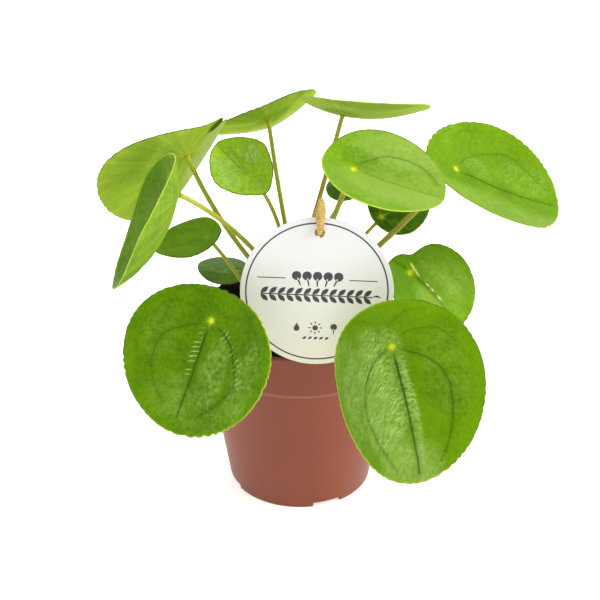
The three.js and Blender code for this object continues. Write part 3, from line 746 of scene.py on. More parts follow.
def pot_material():
    shader = Shader("pot")
    spread = shader.spread
    broad = shader.noise(shader.place(), 14.0, 3.0)
    colour = shader.mix(spread(broad, 0.3, 0.7), rgb(119, 56, 33), rgb(128, 62, 36))
    height = shader.node("ShaderNodeSeparateXYZ", {0: shader.place()}).outputs["Z"]
    collar_z = POT["height"] - POT["collar_height"]
    # Painted shade and light under the collar's step.
    for middle, half, share, tone in COLLAR_PAINTED_SHADE_AND_LIGHT:
        away = shader.math("SUBTRACT", height, (collar_z + middle) * MM)
        away = shader.math("ABSOLUTE", away)
        colour = shader.mix(spread(away, 0.5 * half * MM, half * MM, share, 0.0), colour, tone)
    normal = shader.bump(shader.noise(shader.place(), 1600.0, 2.0), 0.12, 0.2)
    return shader.finish(colour, normal, spread(broad, 0.3, 0.7, 0.4, 0.48), 0.3)


def card_material():
    shader = Shader("card")
    height = shader.node("ShaderNodeSeparateXYZ", {0: shader.place()}).outputs["Z"]
    warm = shader.spread(height, 0.11, 0.17, 1.0, 0.0)
    colour = shader.mix(warm, rgb(222, 222, 220), rgb(218, 214, 194))
    normal = shader.bump(shader.noise(shader.place(), 2200.0, 3.0), 0.08, 0.1)
    return shader.finish(colour, normal, 0.55, 0.3)


def grained_material(name):
    noise, shown, dark, light, bump_noise, bump, roughness, specular, over = GRAINED[name]
    shader = Shader(name)
    share = shader.spread(shader.noise(shader.place(), *noise), *shown)
    colour = shader.mix(share, rgb(*dark), rgb(*light))
    if over:
        attribute, strength, tone = over
        colour = shader.layered(colour, (shader.times(shader.attribute(attribute), strength), tone))
    normal = bump and shader.bump(shader.noise(shader.place(), *bump_noise), *bump)
    return shader.finish(colour, normal, roughness, specular)


# ---- Blades ----


def mean_direction(angle_at):
    """The mean cosine and sine of an angle that grows along a path."""
    shares = (np.arange(BEND_STEPS) + 0.5) / BEND_STEPS
    angles = np.stack([angle_at(share) for share in shares])
    return np.cos(angles).mean(0), np.sin(angles).mean(0)


def bent_points(leaf, u, v):
    """Where points of the flat blade go once it is folded across and bent along."""
    half = leaf["width"] / 2
    out = np.abs(v)
    fold, curl = math.radians(leaf["fold"]), math.radians(leaf["curl"])
    droop = math.radians(leaf["droop"])

    def rise(share):
        return fold * np.tanh(out * share / (BLADE["valley"] * half)) + curl * out * share / half

    def tilt(share):
        return -droop * u * share / leaf["length"]

    across, up = mean_direction(rise)
    along, lift = mean_direction(tilt)
    end = tilt(1)
    return np.stack([
        along * u - np.sin(end) * up * out,
        across * v,
        lift * u + np.cos(end) * up * out,
    ], -1)


def bent_normals(leaf, u, v):
    step = 0.5
    along_u = bent_points(leaf, u + step, v) - bent_points(leaf, u - step, v)
    along_v = bent_points(leaf, u, v + step) - bent_points(leaf, u, v - step)
    return unit(np.cross(along_u, along_v))


def leaf_axes(leaf):
    """The leaf's tip-ward, left and upper directions."""
    heading, pitch = math.radians(leaf["heading"]), math.radians(leaf["pitch"])
    tip = np.array([
        math.cos(heading) * math.cos(pitch),
        math.sin(heading) * math.cos(pitch),
        -math.sin(pitch),
    ])
    left = np.array([-math.sin(heading), math.cos(heading), 0.0])
    left = turned_about(left, tip, leaf["roll"])
    return tip, left, np.cross(tip, left)


def leaf_outline(number, leaf, seed):
    """The scalloped rim: points evenly spaced along it, and their plain places."""
    turn = np.linspace(0, 2 * math.pi, 721)
    power = CORNER.get(number, 1)
    along = np.sign(np.cos(turn)) * np.abs(np.cos(turn)) ** power
    across = np.sign(np.sin(turn)) * np.abs(np.sin(turn)) ** power * (1 - leaf["egg"] * along)
    sinus_at, sinus_depth = SINUS.get(number, (0, 0))
    kept = 1 - sinus_depth * np.exp(-(((np.degrees(turn) - sinus_at) / SINUS_WIDTH) ** 2))
    u = ((0.5 - leaf["base"]) * leaf["length"] + 0.5 * leaf["length"] * along) * kept
    v = 0.5 * leaf["width"] * across * kept
    run = np.concatenate([[0], np.cumsum(np.hypot(np.diff(u), np.diff(v)))])
    scallops = round(run[-1] / BLADE["scallop_pitch"])
    count = scallops * BLADE["points_per_scallop"]
    at = np.arange(count) / count
    plain = np.stack([np.interp(at * run[-1], run, u), np.interp(at * run[-1], run, v)], -1)
    wander = 1.8 * smooth_noise(at * 16, at * 0 + 0.5, seed)
    depth = leaf["scallop"] * np.clip(0.85 + 1.6 * smooth_noise(at * 15, at * 0 + 3.5, seed), 0, 2)
    notch = depth * (1 - np.abs(np.sin(math.pi * (at * scallops + wander))) ** 1.1)
    return plain, plain * (1 - notch / np.linalg.norm(plain, axis=1))[:, None]


def vein_paths(leaf, seed, weights):
    """Each vein of the leaf in millimetres, with its strength."""
    midrib_weight, left_weight, right_weight, other_weight = weights
    random = np.random.default_rng(seed)
    scale = np.array([leaf["length"] * 0.75 / (1 - leaf["base"]), leaf["width"] / 2])
    paths = [(midrib_weight, smooth_path(np.array(MIDRIB) * scale, 12))]
    for mirror, lateral_weight in ((1, left_weight), (-1, right_weight)):
        others = [(other_weight * strength, points) for strength, points in SIDE_VEINS]
        for strength, points in [(0.85 * lateral_weight, LATERAL), *others]:
            points = np.array(points) * scale * (1, mirror)
            points[1:] += random.normal(0, 0.012, points[1:].shape) * leaf["length"]
            paths.append((strength, smooth_path(points, 12)))
    return paths


def nearest(points, start, end):
    """How far points are from a stretch, and where along it, from 0 to 1."""
    step = end - start
    along = np.clip((points - start) @ step / np.dot(step, step), 0, 1)
    return np.linalg.norm(points - start - along[:, None] * step, axis=1), along


def vein_field(leaf, u, v, seed, weights):
    """How strongly a vein shows at each point."""
    strength = np.zeros(len(u))
    points = np.stack([u, v], -1)
    for share, path in vein_paths(leaf, seed, weights):
        if share == 0:
            continue
        run = run_along(path)
        for i in range(len(path) - 1):
            distance, along = nearest(points, path[i], path[i + 1])
            run_share = (run[i] + along * (run[i + 1] - run[i])) / run[-1]
            width = VEIN_WIDTH * (0.6 + 0.5 * share) * (1.15 - 0.5 * run_share)
            groove = np.exp(-((distance / width) ** 2))
            beside = distance / width / VEIN_HOLLOW["width"]
            hollow = VEIN_HOLLOW["depth"] * np.exp(-(beside**2))
            strength = np.maximum(strength, share * np.maximum(groove, hollow))
    return strength


def wrinkle_lines(u, v, seed):
    """Coordinates that are even along a wrinkle and change fast across it.

    A wrinkle leaves the midrib squarely and bends towards the tip.
    """
    out = np.abs(v)
    return np.stack([u - 0.25 * out - 0.02 * out**2, out, np.full(len(u), seed * 2.3)], -1)


def ovals(patches, u, v):
    """How strongly soft ovals cover each point."""
    cover = np.zeros(len(u))
    for middle_u, middle_v, half_u, half_v, strength in patches:
        away = ((u - middle_u) / half_u) ** 2 + ((v - middle_v) / half_v) ** 2
        cover = np.maximum(cover, strength * np.clip(1.5 - 1.5 * away, 0, 1))
    return cover


def painted_edge_highlight_field(number, u, v):
    """How near each point is to the painted highlight along the edge of a half that overlaps the
    other.
    """
    near = np.zeros(len(u))
    for start, end in np.array(PAINTED_EDGE_HIGHLIGHT.get(number, []), float):
        distance, _ = nearest(np.stack([u, v], -1), start, end)
        near = np.maximum(near, np.exp(-((distance / PAINTED_EDGE_HIGHLIGHT_WIDTH) ** 2)))
    return near


def painted_rim_highlight(number, u, v):
    """How bright the rim's painted highlight is at each point, from 0 to 1."""
    brightness, way, change = PAINTED_RIM_HIGHLIGHTS.get(number, USUAL_RIM_HIGHLIGHT)
    return np.clip(brightness + change * np.cos(np.arctan2(v, u) - math.radians(way)), 0, 1)


def blade_relief(leaf, u, v, seed):
    """Soft puckers and waves of the blade, in millimetres."""
    reach = np.hypot(u, v)
    bearing = np.arctan2(v, u)
    (wide, high), (pucker_wide, pucker_high), (small_wide, small_high) = WAVES.values()
    waves = high * smooth_noise(u / wide + 7, v / wide + 7, seed + 1)
    around = bearing * PUCKERS_TO_A_RADIAN + 9
    waves += pucker_high * smooth_noise(reach / pucker_wide, around, seed + 2)
    waves += small_high * smooth_noise(u / small_wide, v / small_wide, seed + 3)
    return leaf["crumple"] * waves * (1 - np.exp(-((reach / STILL_RADIUS) ** 2)))


def add_blade(number, leaf, upper, under):
    seed = 40 * number
    plain, rim = leaf_outline(number, leaf, seed)
    sides = len(rim)
    rings = BLADE_RINGS["small" if leaf["length"] < SMALL_LENGTH else "large"]
    shares = np.linspace(0, 1, rings + 1)[1:]
    notches = rim - plain
    flat = [plain * share + notches * share**SCALLOP_POWER for share in shares]
    flat = np.vstack([*flat, [[0, 0]]])
    u, v = flat.T
    count = len(flat)
    hub = count - 1
    reach = np.hypot(u, v)
    edge = np.append(np.repeat(shares, sides), 0)
    vein = vein_field(leaf, u, v, seed, EVERY_VEIN)

    thinning = BLADE["hub_thickness"] - BLADE["rim_thickness"]
    half = (BLADE["rim_thickness"] + thinning * (1 - edge**2)) / 2
    dimple = BLADE["dimple"] * np.exp(-((reach / BLADE["dimple_radius"]) ** 2))
    height, across, along = OVERLAP.get(number, (0, 1, 1))
    stands = 1 / (1 + np.exp(-v / OVERLAP_STEP)) * np.exp(-((v / across) ** 2))
    lifted = height * stands * np.clip(1.2 - ((u - OVERLAP_MIDDLE) / along) ** 2, 0, 1)
    relief = blade_relief(leaf, u, v, seed) - dimple + lifted
    surface, normals = bent_points(leaf, u, v), bent_normals(leaf, u, v)
    upper_side = surface + normals * (relief + half - VEIN_DEPTH["upper"] * vein)[:, None]
    under_side = surface + normals * (relief - half - VEIN_DEPTH["under"] * vein)[:, None]
    points = np.vstack([upper_side, under_side]) @ np.array(leaf_axes(leaf)) + leaf["hub"]

    face = [tuple(reversed(f)) for f in ring_faces(rings, sides)]
    face += [(hub, i, (i + 1) % sides) for i in range(sides)]
    faces = face + [tuple(count + i for i in reversed(f)) for f in face]
    first_rim = (rings - 1) * sides
    for i in range(sides):
        a, b = first_rim + i, first_rim + (i + 1) % sides
        faces.append((a, count + a, count + b, b))
    groups = [0] * len(face) + [1] * len(face) + [0] * sides

    glow = np.exp(-((reach / HUB_GLOW_RADIUS) ** 2))
    rays = np.exp(-((reach / HUB_RAYS["radius"]) ** 2)) * np.clip(vein, 0, 1)
    from_rim = reach / np.maximum(edge, 0.01) * (1 - edge)
    wrinkle = wrinkle_lines(u, v, seed)
    attributes = {
        "flat": np.stack([u, v, np.full(count, seed * 1.7)], -1),
        "wrinkle": wrinkle,
        "wrinkles_and_painted_shine": ovals(WRINKLES_AND_PAINTED_SHINE.get(number, USUAL_WRINKLES_AND_PAINTED_SHINE), u, v),
        "tick_run": np.where(np.abs(v) > 3 + 0.35 * u, reach, wrinkle[:, 0]),
        "mottled": np.full(count, MOTTLED.get(number, USUAL_MOTTLED)),
        "haze": np.clip(ovals(PAINTED_SHEEN.get(number, []), u, v) + leaf["haze"] * 0.3, 0, 1),
        "hub": np.clip(glow + rays * HUB_RAYS["strength"], 0, 1) * HUB_GLOW.get(number, 1),
        "painted_edge_highlight": painted_edge_highlight_field(number, u, v),
        "rim": np.clip(1 - from_rim / RIM_WIDTH, 0, 1),
        "painted_rim_highlight": painted_rim_highlight(number, u, v),
        "outer": np.clip(edge, 0, 1) ** 3,
        "shade": np.full(count, leaf["shade"]),
        "under_shade": np.full(count, UNDER_SHADE.get(number, leaf["shade"])),
    }
    for key, weights in (("vein", DARK_VEINS_AND_PAINTED_SHADE), ("pale", PALE_VEINS)):
        attributes[key] = vein_field(leaf, u, v, seed, weights.get(number, NO_VEIN))
    for key, patches in (("peel_and_painted_gloss", PEEL_AND_PAINTED_GLOSS), ("painted_tick_highlights", PAINTED_TICK_HIGHLIGHTS), ("deep", DEEP_GREEN_AND_PAINTED_BACKLIGHT), ("dark", PAINTED_CURL_SHADE)):
        attributes[key] = ovals(patches.get(number, []), u, v)
    attributes = {key: np.concatenate([values, values]) for key, values in attributes.items()}
    add_piece(f"leaf_{number:02d}", points, faces, [upper, under],
              [f"blade_{number:02d}"], attributes, groups)


# ---- Stalks and stem ----


def stalk_start(leaf):
    if leaf["soil"]:
        return np.array([*leaf["soil"], SOIL["edge_z"] - STALK["soil_depth"]], float)
    bearing, z = leaf["stem"]
    return STEM_JOIN_RADIUS * spoke(math.radians(bearing)) + (0, 0, z)


def stalk_path(leaf, count):
    start = stalk_start(leaf)
    hub = np.array(leaf["hub"], float)
    middle = (start + hub) / 2 + np.array(leaf["bow"], float)
    upper = leaf_axes(leaf)[2]
    return arc(start, middle, hub - upper * (BLADE["dimple"] + STALK["under_hub"]), count)


def add_stalk(number, leaf, material):
    path = stalk_path(leaf, STALK["steps"])
    run = run_along(path)
    share = run / run[-1]
    radii = leaf["stalk"] * (STALK["root_share"] + (1 - STALK["root_share"]) * share)
    flares = ((ROOT_FLARE, run), (HUB_FLARE, run[-1] - run))
    radii *= 1 + sum(more * np.exp(-away / reach) for (more, reach), away in flares)
    high, often = STALK_KNOBS
    radii *= 1 + high * np.sin(run * often + number)
    points, faces, along = tube(path, radii, STALK["sides"])
    attributes = {"along": along, "tan": leaf["tan"] * (1 - 0.6 * along**3)}
    add_piece(f"petiole_{number:02d}", points, faces, [material],
              [f"stalk_{number:02d}"], attributes)


def add_stem(material):
    share = np.linspace(0, 1, STEM["levels"])
    z = STEM["root_z"] + (STEM["top_z"] - STEM["tip_height"] - STEM["root_z"]) * share
    radius = STEM["root_radius"] + (STEM["top_radius"] - STEM["root_radius"]) * share
    scar = STEM["scar_depth"] / 2 * (np.cos(2 * math.pi * STEM["scars"] * share) - 1)
    tip = [(STEM["tip_radius"], STEM["top_z"] - 1), (0, STEM["top_z"])]
    points, faces = lathe([(0, z[0]), *zip(radius + scar, z), *tip], 40)
    bearing = np.arctan2(points[:, 1], points[:, 0])
    rough = STEM["unevenness"] * smooth_noise(bearing * 3 + 10, points[:, 2] / 3, 3)
    points[:, :2] *= (1 + rough)[:, None]
    along = np.clip((points[:, 2] - STEM["green_from"]) / STEM["green_over"], 0, 1) ** 2
    add_piece("woody_stem", points, faces, [material], ["stem"], {"along": along})


# ---- Pot ----


def pot_radius_at(z):
    body_top = POT["height"] - POT["collar_height"]
    top = POT["rim_radius"] - POT["lip_overhang"] - POT["collar_taper"] - POT["collar_step"]
    return POT["foot_radius"] + (top - POT["foot_radius"]) * z / body_top


def fillet(corner, before, after, radius, steps=4):
    """A rounded corner of a profile, between the points before and after it."""
    corner, before, after = (np.array(p, float) for p in (corner, before, after))
    start, end = (corner + unit(p - corner) * radius for p in (before, after))
    return [tuple(p) for p in arc(start, corner, end, steps)]


def pot_profile():
    height, rim, foot, foot_z = (
        POT[key] for key in ("height", "rim_radius", "foot_radius", "foot_height")
    )
    foot_inside = foot - POT["foot_width"]
    collar_z = height - POT["collar_height"]
    lip_z = height - POT["lip_height"]
    collar_top = rim - POT["lip_overhang"]
    floor_top = foot_z + POT["floor"]
    # Each corner with the radius that rounds it.
    corners = [
        ((foot_inside - POT["foot_slope"], foot_z), 0.5),
        ((foot_inside, 0), 0.2),
        ((foot - 0.2, 0), 0.9),
        ((pot_radius_at(40), 40), 1),
        ((pot_radius_at(collar_z), collar_z), 0.4),
        ((collar_top - POT["collar_taper"], collar_z + POT["collar_step"]), 0.4),
        ((collar_top, lip_z), 0.3),
        ((rim, lip_z + 0.3), 0.3),
        ((rim, height), 0.5),
        ((collar_top - POT["wall"], height), 0.4),
        ((pot_radius_at(collar_z) - POT["wall"], collar_z), 0.5),
        ((pot_radius_at(floor_top) - POT["wall"], floor_top), 0.5),
    ]
    points = [(0, foot_z), *[corner for corner, _ in corners], (0, floor_top)]
    profile = [points[0]]
    for i, (corner, radius) in enumerate(corners, start=1):
        profile += fillet(corner, points[i - 1], points[i + 1], radius)
    return [*profile, points[-1]]


def boxes_and_cylinders():
    """What is cut from the pot: its foot notches and drain holes."""
    parts = []
    half_depth, half_width = FOOT_NOTCH["depth"] / 2, FOOT_NOTCH["width"] / 2
    for i in range(FOOT_NOTCH["count"]):
        angle = math.radians(FOOT_NOTCH["first_angle"] + 360 / FOOT_NOTCH["count"] * i)
        out, side = spoke(angle), spoke(angle + math.pi / 2)
        points = [
            out * (POT["foot_radius"] + half_depth * a) + side * half_width * b + (0, 0, z)
            for z in (-POT["foot_height"], POT["foot_height"])
            for a, b in ((-1, -1), (1, -1), (1, 1), (-1, 1))
        ]
        faces = [*ring_faces(2, 4), (3, 2, 1, 0), (4, 5, 6, 7)]
        parts.append((np.array(points), faces, np.zeros(len(points))))
    half = DRAIN_HOLE["length"] / 2
    for i in range(DRAIN_HOLE["count"]):
        centre = spoke(i / DRAIN_HOLE["count"] * 2 * math.pi) * DRAIN_HOLE["circle_radius"]
        path = [centre + (0, 0, z) for z in (-half, 0, half)]
        parts.append(tube(path, [DRAIN_HOLE["radius"]] * 3, 32))
    return joined(parts)


def add_pot(material):
    points, faces = lathe(pot_profile(), POT["sides"])
    pot = add_piece("plant_pot", points, faces, [material], ["pot"])
    cut_points, cut_faces, _ = boxes_and_cylinders()
    cutter = linked("cutter", new_mesh("cutter", place(cut_points), cut_faces))
    cut = pot.modifiers.new("cut", "BOOLEAN")
    cut.operation = "DIFFERENCE"
    cut.solver = "EXACT"
    cut.object = cutter
    pot.data = modified_mesh(pot)
    pot.data.name = "plant_pot"
    pot.data.set_sharp_from_angle(angle=math.radians(40))
    pot.modifiers.clear()
    bpy.data.objects.remove(cutter)


# ---- Soil ----


def soil_height(radius):
    share = radius / SOIL["radius"]
    return SOIL["centre_z"] + (SOIL["edge_z"] - SOIL["centre_z"]) * share**2


def heap_height(x, y):
    """How high soil is heaped against the rim, behind the lowest leaf."""
    bearing = math.radians(HEAP["bearing"])
    out = x * math.cos(bearing) + y * math.sin(bearing) - HEAP["radius"]
    across = y * math.cos(bearing) - x * math.sin(bearing)
    away = (out / HEAP["deep"]) ** 2 + (across / HEAP["long"]) ** 2
    return HEAP["height"] * np.exp(-0.5 * away)


def add_soil(material):
    top_radii = np.linspace(SOIL["radius"], 0, SOIL["rings"])[:-1]
    collar_z = POT["height"] - POT["collar_height"]
    floor_z = POT["foot_height"] + POT["floor"] + GAP
    wall = POT["wall"] + GAP
    profile = [
        (0, floor_z), (pot_radius_at(floor_z) - wall, floor_z),
        (pot_radius_at(collar_z) - wall, collar_z),
        *[(radius, soil_height(radius)) for radius in top_radii],
        (0, SOIL["centre_z"]),
    ]
    points, faces = lathe(profile, SOIL["sides"])
    x, y, z = points.T
    bumps = 1.1 * smooth_noise(x / 7 + 20, y / 7 + 20, 11)
    bumps += 0.7 * smooth_noise(x / 2.6 + 20, y / 2.6 + 20, 12)
    edge = np.clip((SOIL["radius"] - np.hypot(x, y)) / 3, 0, 1)
    points[:, 2] += np.where(z > collar_z + 1, bumps * edge + heap_height(x, y), 0)
    add_piece("potting_soil", points, faces, [material], ["soil"])


def rough_ball(centre, radius, stretch, random):
    """A small lump: a ball with uneven rings."""
    points, faces = lathe([(math.sin(t), -math.cos(t)) for t in np.linspace(0, math.pi, 6)], 8)
    points = points * random.uniform(0.75, 1.2, (len(points), 1)) * stretch
    turned = turned_about(points, unit(random.normal(size=3)), 137)
    return turned * radius + centre, faces, np.full(len(points), random.uniform())


def scattered(settings, seed, stretch):
    """Lumps strewn over the soil, clear of the stem and of the pot's wall."""
    random = np.random.default_rng(seed)
    smallest, largest = settings["smallest"], settings["largest"]
    parts = []
    while len(parts) < settings["count"]:
        radius = (SOIL["radius"] - ROOM_AT_WALL) * math.sqrt(random.uniform(0.02, 1))
        way = spoke(random.uniform(0, 2 * math.pi))
        size = smallest + (largest - smallest) * random.uniform() ** 3
        if ROOM_ROUND_STEM < radius < SOIL["radius"] - size:
            centre = way * radius + (0, 0, soil_height(radius) + 0.2 * size)
            parts.append(rough_ball(centre, size, stretch, random))
    return joined(parts)


def heaped():
    """Lumps all over the heap of soil."""
    random = np.random.default_rng(31)
    bearing = math.radians(HEAP["bearing"])
    parts = []
    while len(parts) < HEAP["count"]:
        out = HEAP["radius"] + random.normal(0, HEAP["deep"])
        across = random.normal(0, HEAP["long"])
        x = out * math.cos(bearing) - across * math.sin(bearing)
        y = out * math.sin(bearing) + across * math.cos(bearing)
        if math.hypot(x, y) > POT["rim_radius"] - 3:
            continue
        z = soil_height(math.hypot(x, y)) + heap_height(x, y)
        size = random.uniform(HEAP["smallest"], HEAP["largest"])
        parts.append(rough_ball((x, y, z), size, CRUMB_SHAPE, random))
    return joined(parts)


def fibre_tubes():
    random = np.random.default_rng(23)
    parts = []
    for _ in range(FIBRES["count"]):
        radius = (SOIL["radius"] - 9) * math.sqrt(random.uniform(0.05, 1))
        angle = random.uniform(0, 2 * math.pi)
        heading = random.uniform(0, 2 * math.pi)
        bend = random.uniform(-1.2, 1.2)
        length = FIBRES["length"] * random.uniform(0.5, 1.3)
        path = []
        for step in np.linspace(-0.5, 0.5, 7):
            x, y, _ = radius * spoke(angle) + length * step * spoke(heading + bend * step)
            path.append((x, y, soil_height(math.hypot(x, y)) + 0.5 + 0.8 * (0.25 - step**2)))
        thickest = FIBRES["radius"] * random.uniform(0.6, 1.6)
        parts.append(tube(path, np.array([0.4, 0.8, 1, 1, 1, 0.8, 0.4]) * thickest, 6))
    return joined(parts)


# ---- Tag ----


def tag_axes():
    lean = math.radians(TAG["lean"])
    front = np.array([0, -math.cos(lean), math.sin(lean)])
    up = np.array([0, math.sin(lean), math.cos(lean)])
    centre = np.array(TAG["foot"], float) + up * TAG["radius"]
    across = turned_about(np.array([1.0, 0, 0]), front, TAG["turn"])
    return across, turned_about(up, front, TAG["turn"]), front, centre


def tag_points(flat):
    """Points in the tag's own axes: across, up and out of its front."""
    across, up, front, centre = tag_axes()
    return np.asarray(flat, float) @ np.array([across, up, front]) + centre


def flat_solid(outlines, half_thickness, rounding):
    """Outlines filled and given a thickness, as points and faces in millimetres."""
    curve = bpy.data.curves.new("flat", "CURVE")
    curve.dimensions = "2D"
    curve.fill_mode = "BOTH"
    curve.extrude = half_thickness - rounding
    curve.bevel_depth = rounding
    curve.bevel_resolution = 2
    curve.offset = -rounding
    for outline in outlines:
        spline = curve.splines.new("POLY")
        spline.points.add(len(outline) - 1)
        for point, (x, y) in zip(spline.points, outline):
            point.co = (x, y, 0, 1)
        spline.use_cyclic_u = True
    holder = linked("flat", curve)
    mesh = modified_mesh(holder)
    points = np.array([v.co[:] for v in mesh.vertices])
    faces = [tuple(p.vertices) for p in mesh.polygons]
    bpy.data.objects.remove(holder)
    bpy.data.meshes.remove(mesh)
    return points, faces


def bar_shape(x, y, length, height):
    corners = np.array([(-1, -1), (1, -1), (1, 1), (-1, 1)])
    return corners * (length / 2, height / 2) + (x, y)


def turned_flat(points, degrees):
    angle = math.radians(degrees)
    turn = [[math.cos(angle), math.sin(angle)], [-math.sin(angle), math.cos(angle)]]
    return points @ np.array(turn)


def leaf_shape(x, y, length, width, degrees):
    """A pointed oval that starts at (x, y) and points along the angle."""
    share = np.linspace(0, 1, 13)
    edge = width / 2 * np.sin(math.pi * share) ** 0.9
    upper = np.stack([share * length, edge], -1)
    lower = np.stack([share[-2:0:-1] * length, -edge[-2:0:-1]], -1)
    return turned_flat(np.vstack([upper, lower]), degrees) + (x, y)


def drop_shape(x, y, size):
    angles = np.linspace(-0.2 * math.pi, 1.2 * math.pi, 24)
    round_part = np.stack([-0.5 * np.cos(angles), -0.5 * np.sin(angles)], -1)
    return np.vstack([round_part, [(0, 1)]]) * size + (x, y)


def disc_leaf(x, y, size, degrees):
    """A round leaf on a short stalk, the stalk towards the angle."""
    stalk = bar_shape(size * 0.72, 0, size * 0.9, size * 0.13)
    return [circle(size / 2, (x, y), 32), turned_flat(stalk, degrees) + (x, y)]


def print_outlines():
    """A thin ring, two rules, a row of round leaves, a leafy twig and care marks."""
    outlines = [circle(38.3), circle(37.5)]
    outlines += [bar_shape(-24.5, 7.4, 15, 0.5), bar_shape(24.5, 7.4, 15, 0.5)]
    for i in range(5):
        outlines += disc_leaf(-11.2 + 5.6 * i, 9, 5, -90 + 12 * (2 - i))
    outlines.append(bar_shape(0, -1.6, 60, 0.6))
    for i in range(13):
        x = -30 + 4.6 * i
        outlines.append(leaf_shape(x, -1.3, 5.4, 2.5, 42))
        outlines.append(leaf_shape(x, -1.9, 5.4, 2.5, -42))
    outlines.append(leaf_shape(29.6, -1.6, 4.8, 2.4, 0))
    outlines.append(drop_shape(-10, -20.6, 3.2))
    outlines.append(circle(1.5, (0, -20), 32))
    for i in range(8):
        angle = math.pi / 4 * i
        x, y = 2.2 * math.cos(angle), -20 + 2.2 * math.sin(angle)
        outlines.append(leaf_shape(x, y, 1.7, 0.7, math.degrees(angle)))
    outlines += disc_leaf(10, -19.2, 3.6, -90)
    for i in range(5):
        outlines.append(leaf_shape(-6.6 + 3 * i, -26.6, 2.6, 1.3, 35))
    return outlines


def add_tag(card, ink):
    hole = (0, TAG["radius"] - TAG["hole_from_edge"])
    outlines = [circle(TAG["radius"], count=240), circle(TAG["hole_radius"], hole, 48)]
    points, faces = flat_solid(outlines, TAG["thickness"] / 2, TAG["edge_rounding"])
    tag = add_piece("hang_tag", tag_points(points), faces, [card], ["tag"])
    tag.data.set_sharp_from_angle(angle=math.radians(30))
    points, faces = flat_solid(print_outlines(), INK_HEIGHT / 2, 0)
    points[:, 2] += TAG["thickness"] / 2
    printed = add_piece("tag_print", tag_points(points), faces, [ink])
    printed.data.set_sharp_from_angle(angle=math.radians(30))


# ---- Tie ----


def tie_route():
    leaf = LEAVES[TIE["leaf"] - 1]
    stalk = stalk_path(leaf, 200)
    run = run_along(stalk)
    at = np.searchsorted(run, run[-1] * TIE["along_stalk"])
    held = stalk[at]
    way = unit(stalk[at + 1] - stalk[at - 1])
    loop_radius = leaf["stalk"] * STALK["root_share"] + GAP + TIE["loop_radius"]
    hole_up = TAG["radius"] - TAG["hole_from_edge"]
    back = TAG["thickness"] / 2 + GAP + TIE["knot_radius"]
    over_edge = tag_points([(0, TAG["radius"] + TIE["above_edge"], 0)])[0]
    to_tag = over_edge - held
    to_tag = unit(to_tag - way * np.dot(to_tag, way))
    loop_front = held + to_tag * loop_radius
    near_hole = tag_points([
        (0, hole_up, -back),
        (0, hole_up, 0),
        (0, hole_up + TIE["end_radius"], TIE["stand_off"]),
        (0, TAG["radius"] - TIE["below_edge"], TIE["stand_off"]),
    ])
    route = [
        *near_hole,
        over_edge,
        over_edge + (loop_front - over_edge) * TIE["back_at"],
        loop_front,
    ]
    return route, held, way, loop_radius, near_hole[0]


def plies(path, radii, count, pitch):
    """Twisted strands round a path."""
    path = np.asarray(path, float)
    sides, others = square_to(path)
    parts = []
    for i in range(count):
        angle = (run_along(path) / pitch + i / count) * 2 * math.pi
        offset = sides * np.cos(angle)[:, None] + others * np.sin(angle)[:, None]
        middle = path + offset * (radii * PLY["offset"])[:, None]
        parts.append(tube(middle, radii * PLY["radius"], 10))
    return parts


def add_tie(material):
    route, held, way, loop_radius, knot = tie_route()
    path = even_steps(smooth_path(route, 6 * TIE["steps"]), TIE["steps"])
    share = np.linspace(0, 1, len(path))
    swell = np.exp(-(((share - TIE["swell_at"]) / TIE["swell_width"]) ** 2))
    radii = TIE["end_radius"] + (TIE["radius"] - TIE["end_radius"]) * swell
    parts = plies(path, radii, TIE["plies"], TIE["twist_pitch"])
    parts.append(tube(path, radii * PLY["core"], 12))
    random = np.random.default_rng(8)
    for _ in range(TIE["frays"]):
        at = random.integers(8, len(path) - 6)
        out = unit(random.normal(size=3)) * radii[at] * 0.95
        drift = unit(path[at + 4] - path[at]) * random.uniform(1, 2.6)
        start = path[at]
        strand = [start + out, start + out * 1.12 + drift * 0.5, start + out * 1.22 + drift]
        parts.append(tube(strand, [0.1, 0.09, 0.05], 5))
    side = unit(np.cross(way, (0, 0, 1)))
    other = np.cross(way, side)
    angles = np.linspace(0, 2 * math.pi, 41)
    ring = [held + loop_radius * (side * math.cos(a) + other * math.sin(a)) for a in angles]
    parts += plies(ring, np.full(len(ring), TIE["loop_radius"]), 3, 4)
    random = np.random.default_rng(5)
    cord = TIE["knot_cord"]
    knot_middle = TIE["knot_radius"] - cord - 0.1
    for _ in range(TIE["knot_turns"]):
        axis = unit(random.normal(size=3))
        start = unit(np.cross(axis, (0.2, 0.5, 0.8))) * knot_middle
        loop = [knot + turned_about(start, axis, angle) for angle in np.linspace(0, 360, 25)]
        parts.append(tube(loop, [cord] * 25, 10))
    points, faces, along = joined(parts)
    add_piece("jute_tie", points, faces, [material], ["tie"], {"along": along})


# ---- Stage, lights and camera ----


def add_camera():
    camera = linked("camera", bpy.data.cameras.new("camera"))
    camera.data.sensor_width = SENSOR_MM
    camera.data.lens = CAMERA["focal_px"] * SENSOR_MM / CAMERA["frame_px"]
    camera.location = place((0, -CAMERA["back"], CAMERA["height"]))
    camera.rotation_euler = (math.radians(90 - CAMERA["pitch"]), 0, 0)
    bpy.context.scene.camera = camera


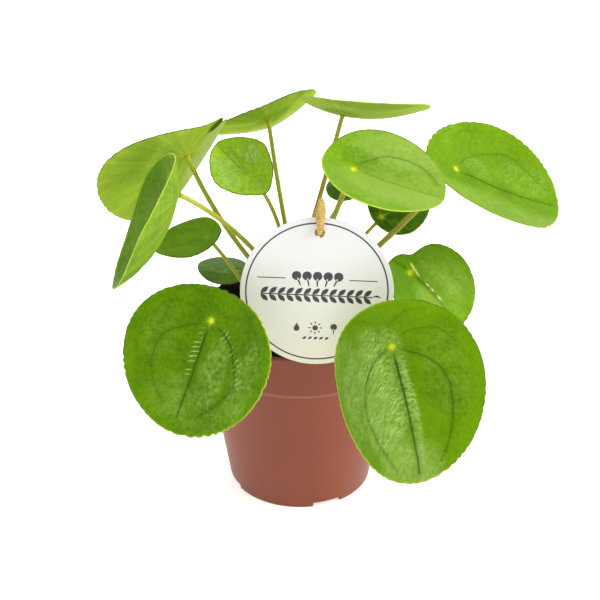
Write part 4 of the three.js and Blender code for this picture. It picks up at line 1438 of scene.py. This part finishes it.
def add_floor():
    """A plain white table."""
    shader = Shader("floor")
    cloud = shader.spread(shader.noise(shader.place(), 3.0, 2.0), 0.3, 0.7)
    colour = shader.mix(cloud, rgb(247, 247, 246), rgb(250, 250, 249))
    shader.set(shader.last.inputs["Emission Color"], (1, 1, 1, 1))
    shader.set(shader.last.inputs["Emission Strength"], FLOOR["glow"])
    far = FLOOR["half_size_m"]
    corners = [(-far, -far, 0), (far, -far, 0), (far, far, 0), (-far, far, 0)]
    mesh = new_mesh("floor", corners, [(0, 1, 2, 3)])
    mesh.materials.append(shader.finish(colour, roughness=0.9, specular=0.1))
    linked("floor", mesh)


def add_lights():
    """A white surround that dims overhead, and the lamps."""
    world = Shader("world", bpy.data.worlds, "Background")
    direction = world.node("ShaderNodeTexCoord").outputs["Generated"]
    up = world.node("ShaderNodeSeparateXYZ", {0: direction}).outputs["Z"]
    world.set(world.last.inputs["Color"], world.spread(up, *SURROUND))
    bpy.context.scene.world = world.owner
    for name, azimuth, elevation, spread, strength in LAMPS:
        lamp = bpy.data.lights.new(name, "SUN")
        lamp.energy = strength
        lamp.angle = math.radians(spread)
        turn = (math.radians(90 - elevation), 0, math.radians(90 + azimuth))
        linked(name, lamp).rotation_euler = turn


def main():
    add_camera()
    add_floor()
    add_lights()
    upper, under = blade_upper_material(), blade_under_material()
    stalk = stalk_material()
    for number, leaf in enumerate(LEAVES, start=1):
        add_blade(number, leaf, upper, under)
        add_stalk(number, leaf, stalk)
    add_stem(grained_material("stem"))
    add_pot(pot_material())
    soil = grained_material("soil")
    add_soil(soil)
    for name, (points, faces, _), material in (
        ("soil_crumbs", joined([scattered(CRUMBS, 17, CRUMB_SHAPE), heaped()]), soil),
        ("soil_flecks", scattered(FLECKS, 19, FLECK_SHAPE), grained_material("fleck")),
        ("soil_fibres", fibre_tubes(), grained_material("fibre")),
    ):
        add_piece(name, points, faces, [material])
    add_tag(card_material(), grained_material("ink"))
    add_tie(grained_material("jute"))
    bpy.context.scene.view_settings.view_transform = "Standard"


main()
